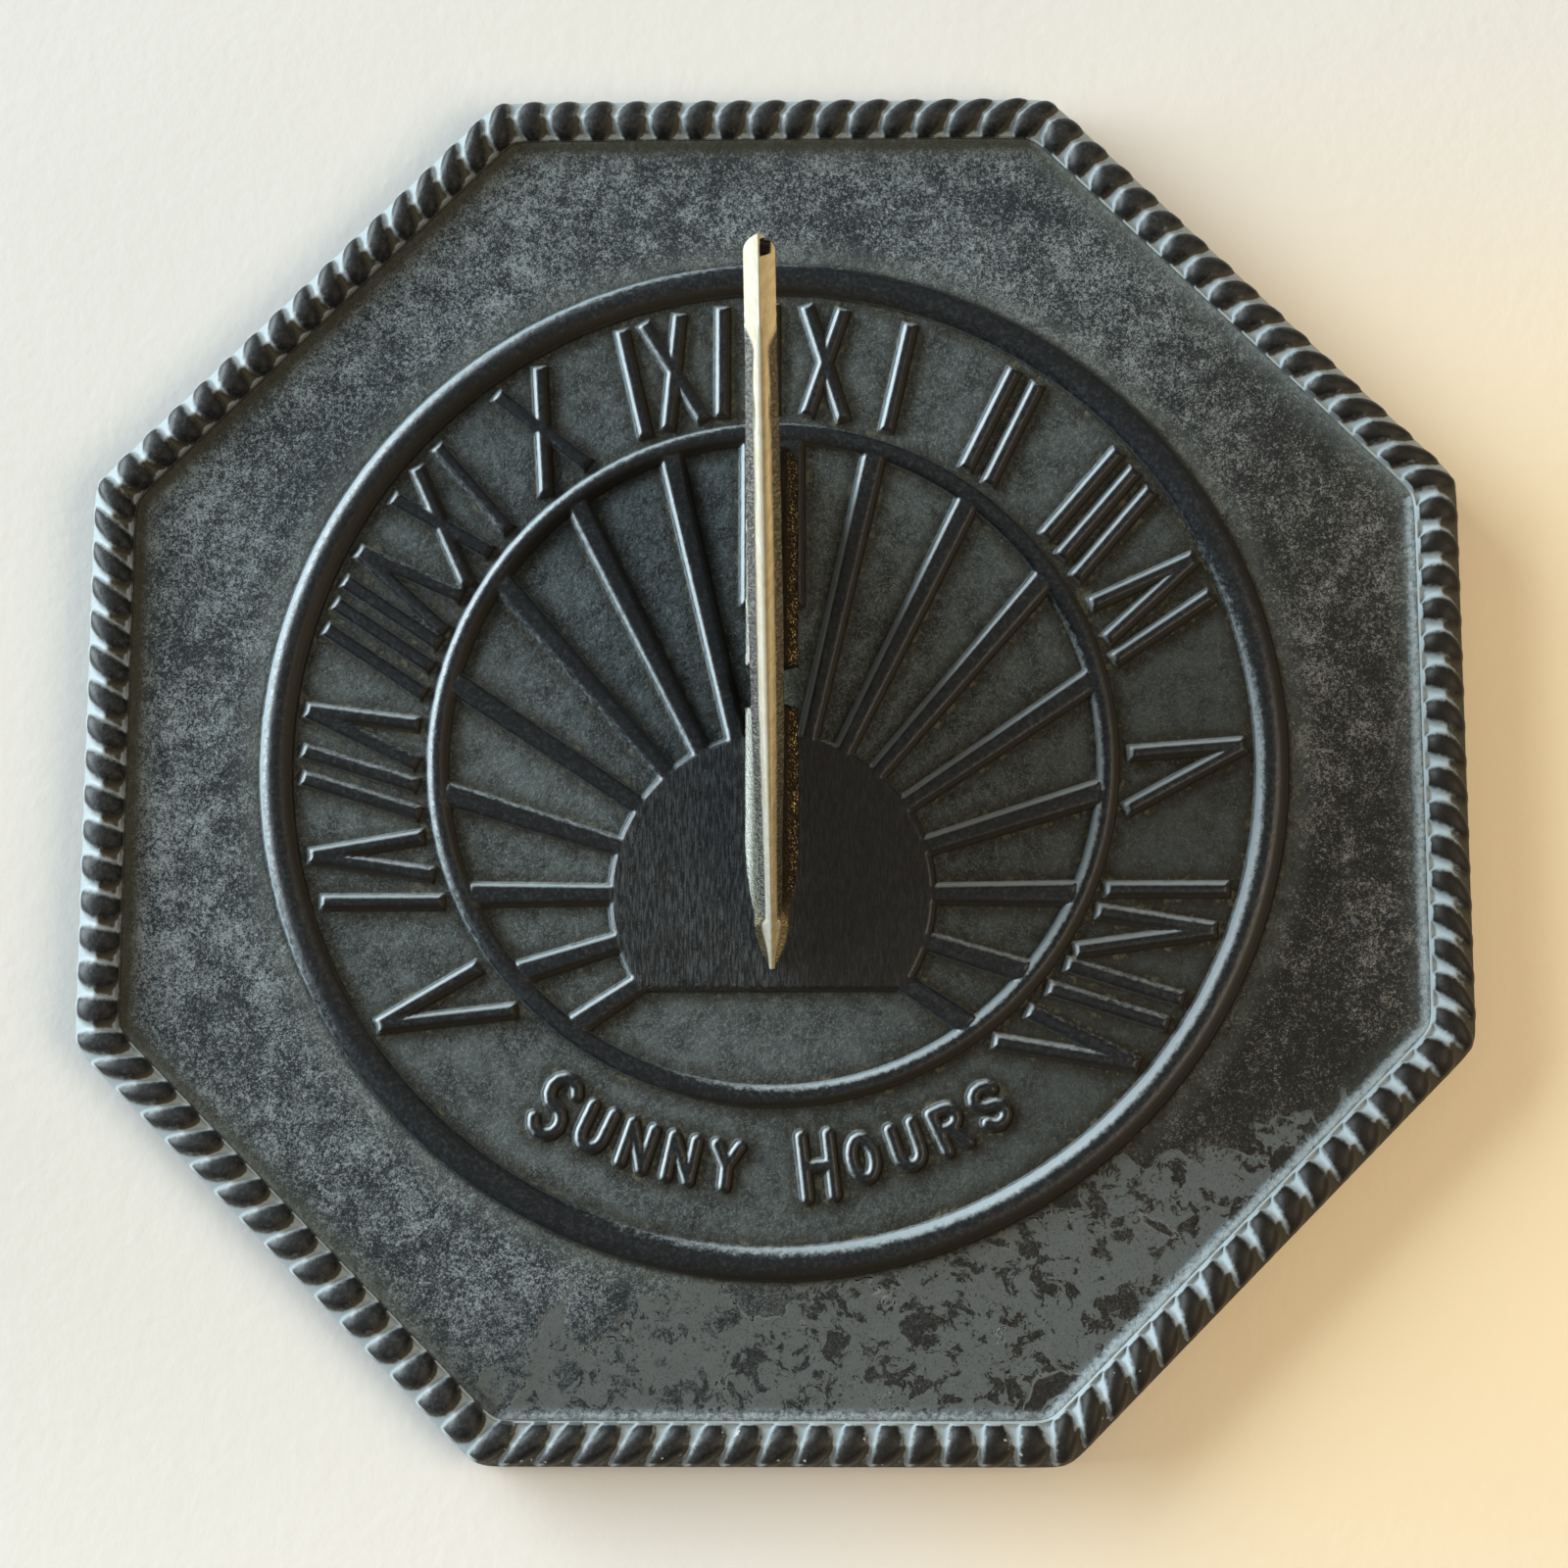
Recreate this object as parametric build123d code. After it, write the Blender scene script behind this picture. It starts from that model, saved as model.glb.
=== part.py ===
from build123d import *
import os
from math import asin, atan2, cos, degrees, hypot, pi, radians, sin, sqrt, tan

# Garden sundial: an octagonal cast iron dial plate with a brass gnomon screwed on from below.
# Millimetres. The origin is the centre of the underside, +Z is up and +Y runs along the noon line,
# from the toe of the gnomon to its tip.

# ---- dial plate ----
ACROSS_FLATS = 254.0
FIELD_Z = 6.0  # thickness of the plain field
SIDES = 8
ROPE_RADIUS = 4.0
ROPE_GROOVES = 16  # strands on each side of the octagon
GROOVE_RADIUS = 1.15
STRAND_LEAN = 26.0  # degrees, clockwise towards the edge
OUTER_RING_RADIUS = 94.7
OUTER_RING_WIDTH = 6.3
OUTER_RING_HEIGHT = 2.2
INNER_RING_RADIUS = 63.7
INNER_RING_WIDTH = 4.1
INNER_RING_HEIGHT = 1.9
RELIEF_HEIGHT = 1.6
DRAFT = 14.0  # degrees, on the sides of the raised shapes

# ---- sun and rays ----
SUN_Y = -24.9
SUN_RADIUS = 30.0
SUN_CHORD = 17.8  # the horizon cuts the disc this far south of its centre
HOUR_FACTOR = 0.86  # tan(line) = factor * tan(15 degrees * hours from noon)
LAST_RAY_HOUR = 8
RAY_WIDTH_INNER = 3.9
RAY_WIDTH_OUTER = 4.8
SEAT_WIDTH = 12.2  # the broad noon ray, on which the gnomon stands
SEAT_END_Y = 28.5

# ---- hour numerals ----
NUMERAL_INNER = 65.2
NUMERAL_OUTER = 86.9
STROKE_WIDTH = 3.1
LONE_HALF = 4.9  # half the spread of a V or an X that stands alone
GROUPED_HALF = 3.6  # and of one beside other strokes
# Hours from noon: the glyphs from the clockwise side, and how far clockwise of the hour line,
# in millimetres, each one stands. The pattern maker shifted several by eye.
NUMERALS = {
    -7: ("V", (-1.5,)),
    -6: ("VI", (7.2, -1.3)),
    -5: ("VII", (7.2, -0.2, -5.0)),
    -4: ("VIII", (10.5, 4.4, 0.0, -4.9)),
    -3: ("IX", (7.3, -1.6)),
    -2: ("X", (0.3,)),
    -1: ("XI", (4.1, -3.7)),
    0: ("XII", (9.9, 0.0, -9.4)),
    1: ("I", (1.2,)),
    2: ("II", (1.9, -3.2)),
    3: ("III", (4.3, -0.4, -5.1)),
    4: ("IV", (-0.8, -8.2)),
    5: ("V", (-0.3,)),
    6: ("VI", (6.8, -0.7)),
    7: ("VII", (10.1, 1.5, -3.6)),
}

# ---- motto ----
MOTTO = "SUNNY HOURS"
MOTTO_RADIUS = 74.5  # middle of the letters
MOTTO_PITCH = 6.35  # degrees from one letter to the next
LETTER_WIDTH = 4.1  # between the stroke centres
LETTER_HEIGHT = 7.3
TALL_HEIGHT = 11.0
TALL_WIDTH = 4.9
LETTER_STROKE = 2.8
LETTER_RELIEF = 1.2

# ---- gnomon ----
SEAT_Z = FIELD_Z + RELIEF_HEIGHT
STYLE_ANGLE = 40.0
TOE_Y = -38.9
TIP_Y = 68.5
FOOT_END_Y = 59.0
FOOT_HALF_WIDTH = 4.85
FOOT_EDGE = 2.4  # height of the foot's upright edge
FOOT_TOP = 6.0  # height at which its slope meets the web
OGIVE_LENGTH = 25.0  # from the toe to the foot's full width
TAIL_CUT = 3.5  # length of the cut corners at the foot's north end
TAIL_HALF_WIDTH = 2.2
PAD_GAP = (9.0, 17.0)  # between the south pad and the north pad
WEB_THICKNESS = 3.8
STYLE_HALF_TOE = 2.1
STYLE_HALF_TIP = 2.7
STYLE_ROOF = 2.2  # drop from the ridge to the edge of the bevel
STYLE_DEPTH = 5.0
STYLE_CHAMFER = (0.6, 1.2)  # across and down, on the style's lower edges
BACK_HOLLOW = 13.0  # how far the back edge curves in towards the toe
NECK_LENGTH = 8.0  # straight part of the web's back edge, under the tip

# ---- fasteners ----
SCREW_YS = (-12.0, 45.0)
SCREW_DIAMETER = 4.17
SCREW_LENGTH = 8.6
TAPPED_DIAMETER = 4.23
TAPPED_DEPTH = 4.4
CLEARANCE_DIAMETER = 4.6
HEAD_DIAMETER = 7.9
HEAD_HEIGHT = 2.5
SLOT_WIDTH = 1.2
SLOT_DEPTH = 1.1
WASHER_DIAMETER = 7.6
WASHER_THICKNESS = 0.9
WASHER_SPLIT = 1.0
COUNTERBORE_DIAMETER = 10.5
COUNTERBORE_DEPTH = 3.8


def turned(point, angle):
    """A point turned clockwise about the origin by an angle in degrees."""
    x, y = point
    a = radians(angle)
    return (x * cos(a) + y * sin(a), y * cos(a) - x * sin(a))


def hour_angle(hour):
    """Degrees clockwise from noon at which an hour's line leaves the sun's centre."""
    turn = radians(15 * hour)
    return degrees(atan2(HOUR_FACTOR * sin(turn), cos(turn)))


def hour_point(hour, offset, radius):
    """Where a line parallel to an hour line, offset clockwise, meets a circle about the centre."""
    a = radians(hour_angle(hour))
    along = (sin(a), cos(a))
    across = (cos(a), -sin(a))
    start = (offset * across[0], SUN_Y + offset * across[1])
    b = start[0] * along[0] + start[1] * along[1]
    c = start[0] ** 2 + start[1] ** 2 - radius**2
    reach = -b + sqrt(b * b - c)
    return (start[0] + reach * along[0], start[1] + reach * along[1])


def bar(start, end, start_width, end_width, overrun=0.0):
    """A flat bar from one point to another, tapering from one width to the other."""
    dx = end[0] - start[0]
    dy = end[1] - start[1]
    length = hypot(dx, dy)
    along = (dx / length, dy / length)
    across = (-along[1], along[0])

    def corner(point, width, reach):
        return (
            point[0] + across[0] * width / 2 + along[0] * reach,
            point[1] + across[1] * width / 2 + along[1] * reach,
        )

    return Polygon(
        corner(start, start_width, -overrun),
        corner(start, -start_width, -overrun),
        corner(end, -end_width, overrun),
        corner(end, end_width, overrun),
        align=None,
    )


def raised(face, height=RELIEF_HEIGHT, draft=DRAFT):
    """A relief shape with drafted sides, standing on the field."""
    return extrude(Pos(0, 0, FIELD_Z) * face, height, taper=draft)


def octagon(apothem):
    return RegularPolygon(apothem, SIDES, major_radius=False, rotation=180 / SIDES)


def rope_side():
    """The north side of the rope border: a bar with a leaning groove between each two strands."""
    apothem = ACROSS_FLATS / 2 - ROPE_RADIUS
    length = 2 * apothem * tan(pi / SIDES)
    rope = Pos(0, apothem, FIELD_Z) * Rot(0, 90, 0) * Cylinder(ROPE_RADIUS, length + 4 * ROPE_RADIUS)
    pitch = length / ROPE_GROOVES
    groove = Rot(0, 0, -STRAND_LEAN) * Rot(0, 90, 0) * Torus(ROPE_RADIUS, GROOVE_RADIUS)
    for i in range(ROPE_GROOVES):
        x = (i + 0.5) * pitch - length / 2
        rope -= Pos(x, apothem, FIELD_Z) * groove
    reach = ACROSS_FLATS
    spread = reach * tan(pi / SIDES)
    sector = extrude(Polygon((0, 0), (spread, reach), (-spread, reach), align=None), 2 * FIELD_Z)
    return rope & sector


def bead(outer_radius, width, height):
    """A raised ring with a rounded top."""
    inner_radius = outer_radius - width
    base = FIELD_Z - 1.0
    outline = Polyline(
        (inner_radius, FIELD_Z), (inner_radius, base), (outer_radius, base), (outer_radius, FIELD_Z)
    )
    crown = ThreePointArc(
        (outer_radius, FIELD_Z), (outer_radius - width / 2, FIELD_Z + height), (inner_radius, FIELD_Z)
    )
    return revolve(Plane.XZ * make_face([outline, crown]), Axis.Z)


def sun_disc():
    horizon = Pos(0, SUN_Y - SUN_CHORD) * Rectangle(
        3 * SUN_RADIUS, 2 * SUN_RADIUS, align=(Align.CENTER, Align.MIN)
    )
    return raised(Pos(0, SUN_Y) * Circle(SUN_RADIUS) & horizon)


def rays():
    """The rays from the sun to the inner ring, and the broad seat on the noon line."""
    ring_inside = INNER_RING_RADIUS - INNER_RING_WIDTH
    shapes = []
    for hour in range(-LAST_RAY_HOUR, LAST_RAY_HOUR + 1):
        if hour == 0:
            continue
        root = turned((0, SUN_RADIUS - 3.0), hour_angle(hour))
        start = (root[0], root[1] + SUN_Y)
        end = hour_point(hour, 0, ring_inside + 1.5)
        shapes.append(raised(bar(start, end, RAY_WIDTH_INNER, RAY_WIDTH_OUTER)))
    seat = bar((0, SEAT_END_Y), (0, ring_inside + 1.0), SEAT_WIDTH, SEAT_WIDTH)
    shapes.append(raised(seat))
    return shapes


def numeral_strokes():
    """Every stroke as its hour, its offset at the outer end and its offset at the inner end."""
    strokes = []
    for hour, (glyphs, offsets) in NUMERALS.items():
        half = LONE_HALF if len(glyphs) == 1 else GROUPED_HALF
        for glyph, offset in zip(glyphs, offsets):
            if glyph == "I":
                strokes.append((hour, offset, offset))
            elif glyph == "V":
                strokes.append((hour, offset, offset + half))
                strokes.append((hour, offset, offset - half))
            else:
                strokes.append((hour, offset - half, offset + half))
                strokes.append((hour, offset + half, offset - half))
    return strokes


def numerals():
    band = extrude(Circle(NUMERAL_OUTER) - Circle(NUMERAL_INNER), 2 * FIELD_Z)
    shapes = []
    for hour, outer, inner in numeral_strokes():
        start = hour_point(hour, inner, NUMERAL_INNER)
        end = hour_point(hour, outer, NUMERAL_OUTER)
        shapes.append(raised(bar(start, end, STROKE_WIDTH, STROKE_WIDTH, overrun=3.0)) & band)
    return shapes


def arc(centre, radii, start, end, steps=6):
    """Points along an arc of an ellipse, from one angle in degrees to another."""
    points = []
    for i in range(steps + 1):
        a = radians(start + (end - start) * i / steps)
        points.append((centre[0] + radii[0] * cos(a), centre[1] + radii[1] * sin(a)))
    return points


def letter_lines(letter):
    """The centre lines of a letter's strokes, in a box of 1 by 1."""
    upper = (0.5, 0.75)
    lower = (0.5, 0.25)
    lobe = (0.5, 0.25)
    lines = {
        "H": [[(0, 0), (0, 1)], [(1, 0), (1, 1)], [(0, 0.5), (1, 0.5)]],
        "N": [[(0, 0), (0, 1), (1, 0), (1, 1)]],
        "O": [arc((0.5, 0.5), (0.5, 0.5), 0, 360, 12)],
        "R": [
            [(0, 0), (0, 1)] + arc(upper, lobe, 90, -90) + [(0, 0.5)],
            [(0.5, 0.5), (1, 0)],
        ],
        "S": [arc(upper, lobe, 20, 270, 8) + arc(lower, lobe, 90, -160, 8)[1:]],
        "U": [[(0, 1)] + arc((0.5, 0.35), (0.5, 0.35), 180, 360) + [(1, 1)]],
        "Y": [[(0, 1), (0.5, 0.5), (1, 1)], [(0.5, 0.5), (0.5, 0)]],
    }
    return lines[letter]


def motto():
    """The letters, on an arc in the south of the hour ring, their feet towards the edge."""
    shapes = []
    for i, letter in enumerate(MOTTO):
        if letter == " ":
            continue
        tall = i == 0 or MOTTO[i - 1] == " "
        width = TALL_WIDTH if tall else LETTER_WIDTH
        height = TALL_HEIGHT if tall else LETTER_HEIGHT
        turn = (i - (len(MOTTO) - 1) / 2) * MOTTO_PITCH
        face = Sketch()
        for line in letter_lines(letter):
            for (x0, y0), (x1, y1) in zip(line, line[1:]):
                start = ((x0 - 0.5) * width, (y0 - 0.5) * height)
                end = ((x1 - 0.5) * width, (y1 - 0.5) * height)
                face += bar(start, end, LETTER_STROKE, LETTER_STROKE)
                face += Pos(*end) * Circle(LETTER_STROKE / 2)
            face += Pos((line[0][0] - 0.5) * width, (line[0][1] - 0.5) * height) * Circle(
                LETTER_STROKE / 2
            )
        place = Rot(0, 0, turn) * Pos(0, -MOTTO_RADIUS)
        shapes.append(raised(place * face, LETTER_RELIEF, 0))
    return shapes


def dial_plate():
    plate = extrude(octagon(ACROSS_FLATS / 2), FIELD_Z)
    side = rope_side()
    sides = [Rot(0, 0, 360 / SIDES * i) * side for i in range(SIDES)]
    relief = [
        bead(OUTER_RING_RADIUS, OUTER_RING_WIDTH, OUTER_RING_HEIGHT),
        bead(INNER_RING_RADIUS, INNER_RING_WIDTH, INNER_RING_HEIGHT),
        sun_disc(),
    ]
    relief += rays()
    relief += numerals()
    relief += motto()
    plate = plate.fuse(*sides).fuse(*relief)
    counterbore = Cylinder(
        COUNTERBORE_DIAMETER / 2, COUNTERBORE_DEPTH, align=(Align.CENTER, Align.CENTER, Align.MIN)
    )
    hole = Cylinder(
        CLEARANCE_DIAMETER / 2, SEAT_Z + 1, align=(Align.CENTER, Align.CENTER, Align.MIN)
    )
    for y in SCREW_YS:
        plate -= Pos(0, y, 0) * counterbore
        plate -= Pos(0, y, 0) * hole
    return plate


def foot_outline():
    """The foot in plan: an ogive at the toe, straight sides and cut corners at the north end."""
    full = TOE_Y + OGIVE_LENGTH
    radius = (FOOT_HALF_WIDTH**2 + OGIVE_LENGTH**2) / (2 * FOOT_HALF_WIDTH)
    half_turn = asin(OGIVE_LENGTH / radius) / 2
    bulge = FOOT_HALF_WIDTH - radius * (1 - cos(half_turn))
    middle = full - radius * sin(half_turn)
    line = Polyline(
        (FOOT_HALF_WIDTH, full),
        (FOOT_HALF_WIDTH, FOOT_END_Y - TAIL_CUT),
        (TAIL_HALF_WIDTH, FOOT_END_Y),
        (-TAIL_HALF_WIDTH, FOOT_END_Y),
        (-FOOT_HALF_WIDTH, FOOT_END_Y - TAIL_CUT),
        (-FOOT_HALF_WIDTH, full),
    )
    left = ThreePointArc((-FOOT_HALF_WIDTH, full), (-bulge, middle), (0, TOE_Y))
    right = ThreePointArc((0, TOE_Y), (bulge, middle), (FOOT_HALF_WIDTH, full))
    return make_face([line, left, right])


def style_height(y):
    """Height of the style's ridge above the seat."""
    return (y - TOE_Y) * tan(radians(STYLE_ANGLE))


def foot():
    """The foot: an upright edge, then slopes up to the web, with a gap between its two pads."""
    outline = Pos(0, 0, SEAT_Z) * foot_outline()
    edge = extrude(outline, FOOT_EDGE)
    width = 2 * FOOT_HALF_WIDTH
    ridge = Polygon(
        (-width / 2, 0),
        (width / 2, 0),
        (WEB_THICKNESS / 2, FOOT_TOP - FOOT_EDGE),
        (-WEB_THICKNESS / 2, FOOT_TOP - FOOT_EDGE),
        align=None,
    )
    length = FOOT_END_Y - TOE_Y
    slopes = extrude(Plane(origin=(0, FOOT_END_Y, SEAT_Z + FOOT_EDGE), z_dir=(0, -1, 0)) * ridge, length)
    slopes &= extrude(outline, FOOT_TOP)
    pads = edge + slopes
    gap = Pos(0, sum(PAD_GAP) / 2, SEAT_Z) * Box(
        2 * width, PAD_GAP[1] - PAD_GAP[0], 4 * FOOT_TOP, align=(Align.CENTER, Align.CENTER, Align.MIN)
    )
    return pads - gap


def web():
    """The upright web, from the toe to the tip, with a hollow back edge."""
    start = TOE_Y + 2.0  # hidden in the style at both ends
    end = TIP_Y - 2.0
    top = style_height(end) - 1.5
    neck = (end - 1.0, top - NECK_LENGTH)
    heel = (FOOT_END_Y, 0)
    hollow = ((TIP_Y + FOOT_END_Y) / 2 - BACK_HOLLOW, neck[1] * 0.55)
    outline = Polyline(heel, (start, 0), (start, 0.2), (end, top), neck)
    back = ThreePointArc(neck, hollow, heel)
    side = Plane(origin=(-WEB_THICKNESS / 2, 0, SEAT_Z), x_dir=(0, 1, 0), z_dir=(1, 0, 0))
    return extrude(side * make_face([outline, back]), WEB_THICKNESS)


def style():
    """The roof-shaped style edge, widening from the toe to a rounded tip."""
    a = radians(STYLE_ANGLE)
    run = TIP_Y - TOE_Y
    overrun = 6.0  # past the toe and the tip, where the rail is cut to shape
    inset, drop = STYLE_CHAMFER

    def section(half, distance):
        plane = Plane(
            origin=(0, TOE_Y + distance * cos(a), SEAT_Z + distance * sin(a)),
            x_dir=(1, 0, 0),
            z_dir=(0, -cos(a), -sin(a)),
        )
        up = 1 if plane.y_dir.Z > 0 else -1
        shape = Polygon(
            (0, 0),
            (half, -up * STYLE_ROOF),
            (half, -up * (STYLE_DEPTH - drop)),
            (half - inset, -up * STYLE_DEPTH),
            (inset - half, -up * STYLE_DEPTH),
            (-half, -up * (STYLE_DEPTH - drop)),
            (-half, -up * STYLE_ROOF),
            align=None,
        )
        return plane * shape

    ends = [section(STYLE_HALF_TOE, -overrun), section(STYLE_HALF_TIP, run / cos(a) + overrun)]
    rail = loft(ends, ruled=True)
    nose_centre = TIP_Y - STYLE_HALF_TIP
    plan = Pos(0, nose_centre) * Circle(STYLE_HALF_TIP)
    plan += Pos(0, (TOE_Y + nose_centre) / 2) * Rectangle(2 * STYLE_HALF_TIP, nose_centre - TOE_Y)
    return rail & extrude(Pos(0, 0, SEAT_Z) * plan, 2 * run)


def gnomon():
    casting = web() + style()
    below_ridge = Polygon(
        (TOE_Y, 0), (FOOT_END_Y + 1, 0), (FOOT_END_Y + 1, style_height(FOOT_END_Y + 1)), align=None
    )
    side = Plane(origin=(-FOOT_HALF_WIDTH - 1, 0, SEAT_Z), x_dir=(0, 1, 0), z_dir=(1, 0, 0))
    casting += foot() & extrude(side * below_ridge, 2 * FOOT_HALF_WIDTH + 2)
    for y in SCREW_YS:
        casting -= Pos(0, y, SEAT_Z) * Cylinder(
            TAPPED_DIAMETER / 2, TAPPED_DEPTH, align=(Align.CENTER, Align.CENTER, Align.MIN)
        )
    return casting


def screw():
    """A slotted pan-head screw, head down, from under the washer up into the foot."""
    under_head = COUNTERBORE_DEPTH - WASHER_THICKNESS
    centred = (Align.CENTER, Align.CENTER, Align.MIN)
    head = Pos(0, 0, under_head - HEAD_HEIGHT) * Cylinder(HEAD_DIAMETER / 2, HEAD_HEIGHT, align=centred)
    head = fillet(head.edges().sort_by(Axis.Z)[0], 1.2)
    slot = Pos(0, 0, under_head - HEAD_HEIGHT) * Box(2 * HEAD_DIAMETER, SLOT_WIDTH, SLOT_DEPTH, align=centred)
    shank = Pos(0, 0, under_head) * Cylinder(SCREW_DIAMETER / 2, SCREW_LENGTH, align=centred)
    shank = chamfer(shank.edges().sort_by(Axis.Z)[-1], 0.5)
    return head + shank - slot


def lock_washer():
    """A split spring washer between the screw head and the floor of the counterbore."""
    base = COUNTERBORE_DEPTH - WASHER_THICKNESS
    ring = Circle(WASHER_DIAMETER / 2) - Circle(CLEARANCE_DIAMETER / 2)
    ring -= Pos(WASHER_DIAMETER / 2, 0) * Rectangle(WASHER_DIAMETER, WASHER_SPLIT)
    return extrude(Pos(0, 0, base) * ring, WASHER_THICKNESS)


def at_screws(shape):
    return Compound(children=[Pos(0, y, 0) * shape for y in SCREW_YS])


nodes = {
    "dial_plate": dial_plate(),
    "gnomon": gnomon(),
    "gnomon_screws": at_screws(screw()),
    "screw_washers": at_screws(lock_washer()),
}
os.makedirs("parts", exist_ok=True)
for name, shape in nodes.items():
    export_step(shape, f"parts/{name}.step")
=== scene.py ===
"""A garden sundial: an octagonal cast iron dial plate with a rope border, and a brass gnomon.

Lengths are in millimetres up to the point where a mesh is made, and the meshes are in metres.
The plate is one closed mesh of rings of vertices: up the rim, over the rope, across the margin
and the hour ring to the middle, with the relief as heights over the plain field.
"""
from functools import reduce
from math import atan2, cos, degrees, hypot, pi, radians, sin, sqrt, tan

import bpy
import numpy as np
from mathutils import Matrix, Vector
from mathutils.geometry import tessellate_polygon


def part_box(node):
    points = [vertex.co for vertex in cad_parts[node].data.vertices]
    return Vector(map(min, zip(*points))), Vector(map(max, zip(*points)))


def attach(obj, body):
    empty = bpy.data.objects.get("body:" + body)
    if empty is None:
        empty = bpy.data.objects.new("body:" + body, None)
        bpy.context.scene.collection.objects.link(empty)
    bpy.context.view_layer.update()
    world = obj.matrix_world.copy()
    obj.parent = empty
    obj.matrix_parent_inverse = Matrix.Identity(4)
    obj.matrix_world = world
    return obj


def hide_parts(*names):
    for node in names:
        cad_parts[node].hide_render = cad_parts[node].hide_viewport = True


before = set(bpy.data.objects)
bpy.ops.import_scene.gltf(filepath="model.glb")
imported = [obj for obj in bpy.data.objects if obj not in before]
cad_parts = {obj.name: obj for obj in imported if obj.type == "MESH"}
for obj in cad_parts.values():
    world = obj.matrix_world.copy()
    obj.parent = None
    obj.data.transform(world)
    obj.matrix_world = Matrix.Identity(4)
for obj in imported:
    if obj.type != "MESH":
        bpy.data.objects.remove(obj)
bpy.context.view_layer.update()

MM = 0.001

# ---- plate: the design's own dimensions ----
plate_low, plate_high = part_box("dial_plate")
ACROSS_FLATS = (plate_high.x - plate_low.x) / MM
FIELD_Z = 6.0
SIDES = 8
ROPE_RADIUS = 4.0
STRANDS = 16  # on each side of the octagon
OUTER_RING = (94.7, 6.3, 2.2)  # outer radius, width, height
INNER_RING = (63.7, 4.1, 1.9)
RELIEF_HEIGHT = 1.6
SUN_Y = -24.9
SUN_RADIUS = 30.0
SUN_CHORD = 17.8
HOUR_FACTOR = 0.86
LAST_RAY_HOUR = 8
RAY_WIDTHS = (3.9, 4.8)
SEAT_WIDTH = 12.2
SEAT_END_Y = 28.5
NUMERAL_INNER = 65.2
NUMERAL_OUTER = 86.9
STROKE_WIDTH = 3.1
LONE_HALF = 4.9
GROUPED_HALF = 3.6
NUMERALS = {
    -7: ("V", (-1.5,)),
    -6: ("VI", (7.2, -1.3)),
    -5: ("VII", (7.2, -0.2, -5.0)),
    -4: ("VIII", (10.5, 4.4, 0.0, -4.9)),
    -3: ("IX", (7.3, -1.6)),
    -2: ("X", (0.3,)),
    -1: ("XI", (4.1, -3.7)),
    0: ("XII", (9.9, 0.0, -9.4)),
    1: ("I", (1.2,)),
    2: ("II", (1.9, -3.2)),
    3: ("III", (4.3, -0.4, -5.1)),
    4: ("IV", (-0.8, -8.2)),
    5: ("V", (-0.3,)),
    6: ("VI", (6.8, -0.7)),
    7: ("VII", (10.1, 1.5, -3.6)),
}
MOTTO = "SUNNY HOURS"
MOTTO_RADIUS = 74.5
MOTTO_PITCH = 6.35
LETTER_SIZE = (4.1, 7.3)
TALL_SIZE = (4.9, 11.0)
LETTER_STROKE = 2.8
LETTER_RELIEF = 1.2

# ---- gnomon and fasteners ----
SEAT_Z = FIELD_Z + RELIEF_HEIGHT
STYLE_ANGLE = 40.0
TOE_Y = -38.9
TIP_Y = 68.5
FOOT_END_Y = 59.0
FOOT_HALF_WIDTH = 4.85
FOOT_EDGE = 2.4
FOOT_TOP = 6.0
OGIVE_LENGTH = 25.0
TOE_LENGTH = 10.0  # the toe's end is cast a little fuller than the ogive
TOE_FULLNESS = 0.7
TAIL_CUT = 3.5
TAIL_HALF_WIDTH = 2.2
PAD_GAP = (9.0, 17.0)
WEB_THICKNESS = 3.8
STYLE_HALF = (1.85, 2.9, 2.5)  # half width at the toe, halfway and at the tip
STYLE_ROOF = 2.2
STYLE_DEPTH = 5.0
STYLE_CHAMFER = (0.6, 1.2)  # across and down, on its lower edges
BACK_HOLLOW = 13.0
SCREW_YS = (-12.0, 45.0)
CLEARANCE_RADIUS = 2.3
COUNTERBORE_RADIUS = 5.25
COUNTERBORE_DEPTH = 3.8

# ---- finish of the casting, which the design leaves open ----
CORNER_SHARPNESS = 150.0  # the higher, the tighter the octagon's corners
ROPE_COLUMNS = 18  # mesh columns to a strand
ROPE_ROWS = 34
STRAND_SECTION = 2.3  # power of a strand's section across the rope, where 2 is round
GROOVE_SECTION = 1.2  # and of the groove between two, where 1 is a straight slope
STRAND_GROOVE = 1.0  # depth between two strands
STRAND_WIDTHS = (0.28, 0.90)  # of a strand at its two ends and in its middle, as shares of the pitch
STRAND_LEAN = 3.4  # how far clockwise a strand moves from the inner to the outer edge
STRAND_BOW = 0.9
RIM_ROUNDING = 0.7
ROPE_END = 0.3  # radians of the rope's inner side that the fillet to the field covers
ROPE_FILLET = 3.2
GRID = 0.37  # mesh spacing
FINE_GRID = 0.26  # and across the rings
FLANK = 1.5  # width of a stroke's sloping side, a third of it outside the stroke
FILLET = 0.35
LUMPS = ((5.0, 0.06), (1.7, 0.035))  # size and height of the casting's unevenness
LUMP_SEED = 11
STRAND_SEED = 4
PLUMPNESS = 0.12  # how much thinner than the design a strand is on average, and how much that varies
HOLLOW_POWER = 0.7  # the lower, the wider the bottom of the groove between two strands
GROOVE_FADE = 0.2  # radians over which a groove runs out at the rope's inner end
OUTER_FADE = (0.75, 0.3)  # where on the rope's outer side the strands' colour ends, and over what
INNER_FADE = (0.45, 0.35)  # and how far from its inner end the band's colour begins
CORNER_ROWS = 3
WALL_ROWS = 14
COLUMN_STEP = GRID * 1.02
COLUMN_COUNTS = (2304, 1728, 1440, 1152, 900, 720, 576, 432, 324, 252, 192, 144, 108, 72, 48, 30, 16, 8)
MARGIN_COLUMNS = 1728
MARGIN_START = 0.4  # share of the margin's width that keeps the rope's columns
RING_SKIRT = 0.6  # between the outer ring and the first round row
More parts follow.
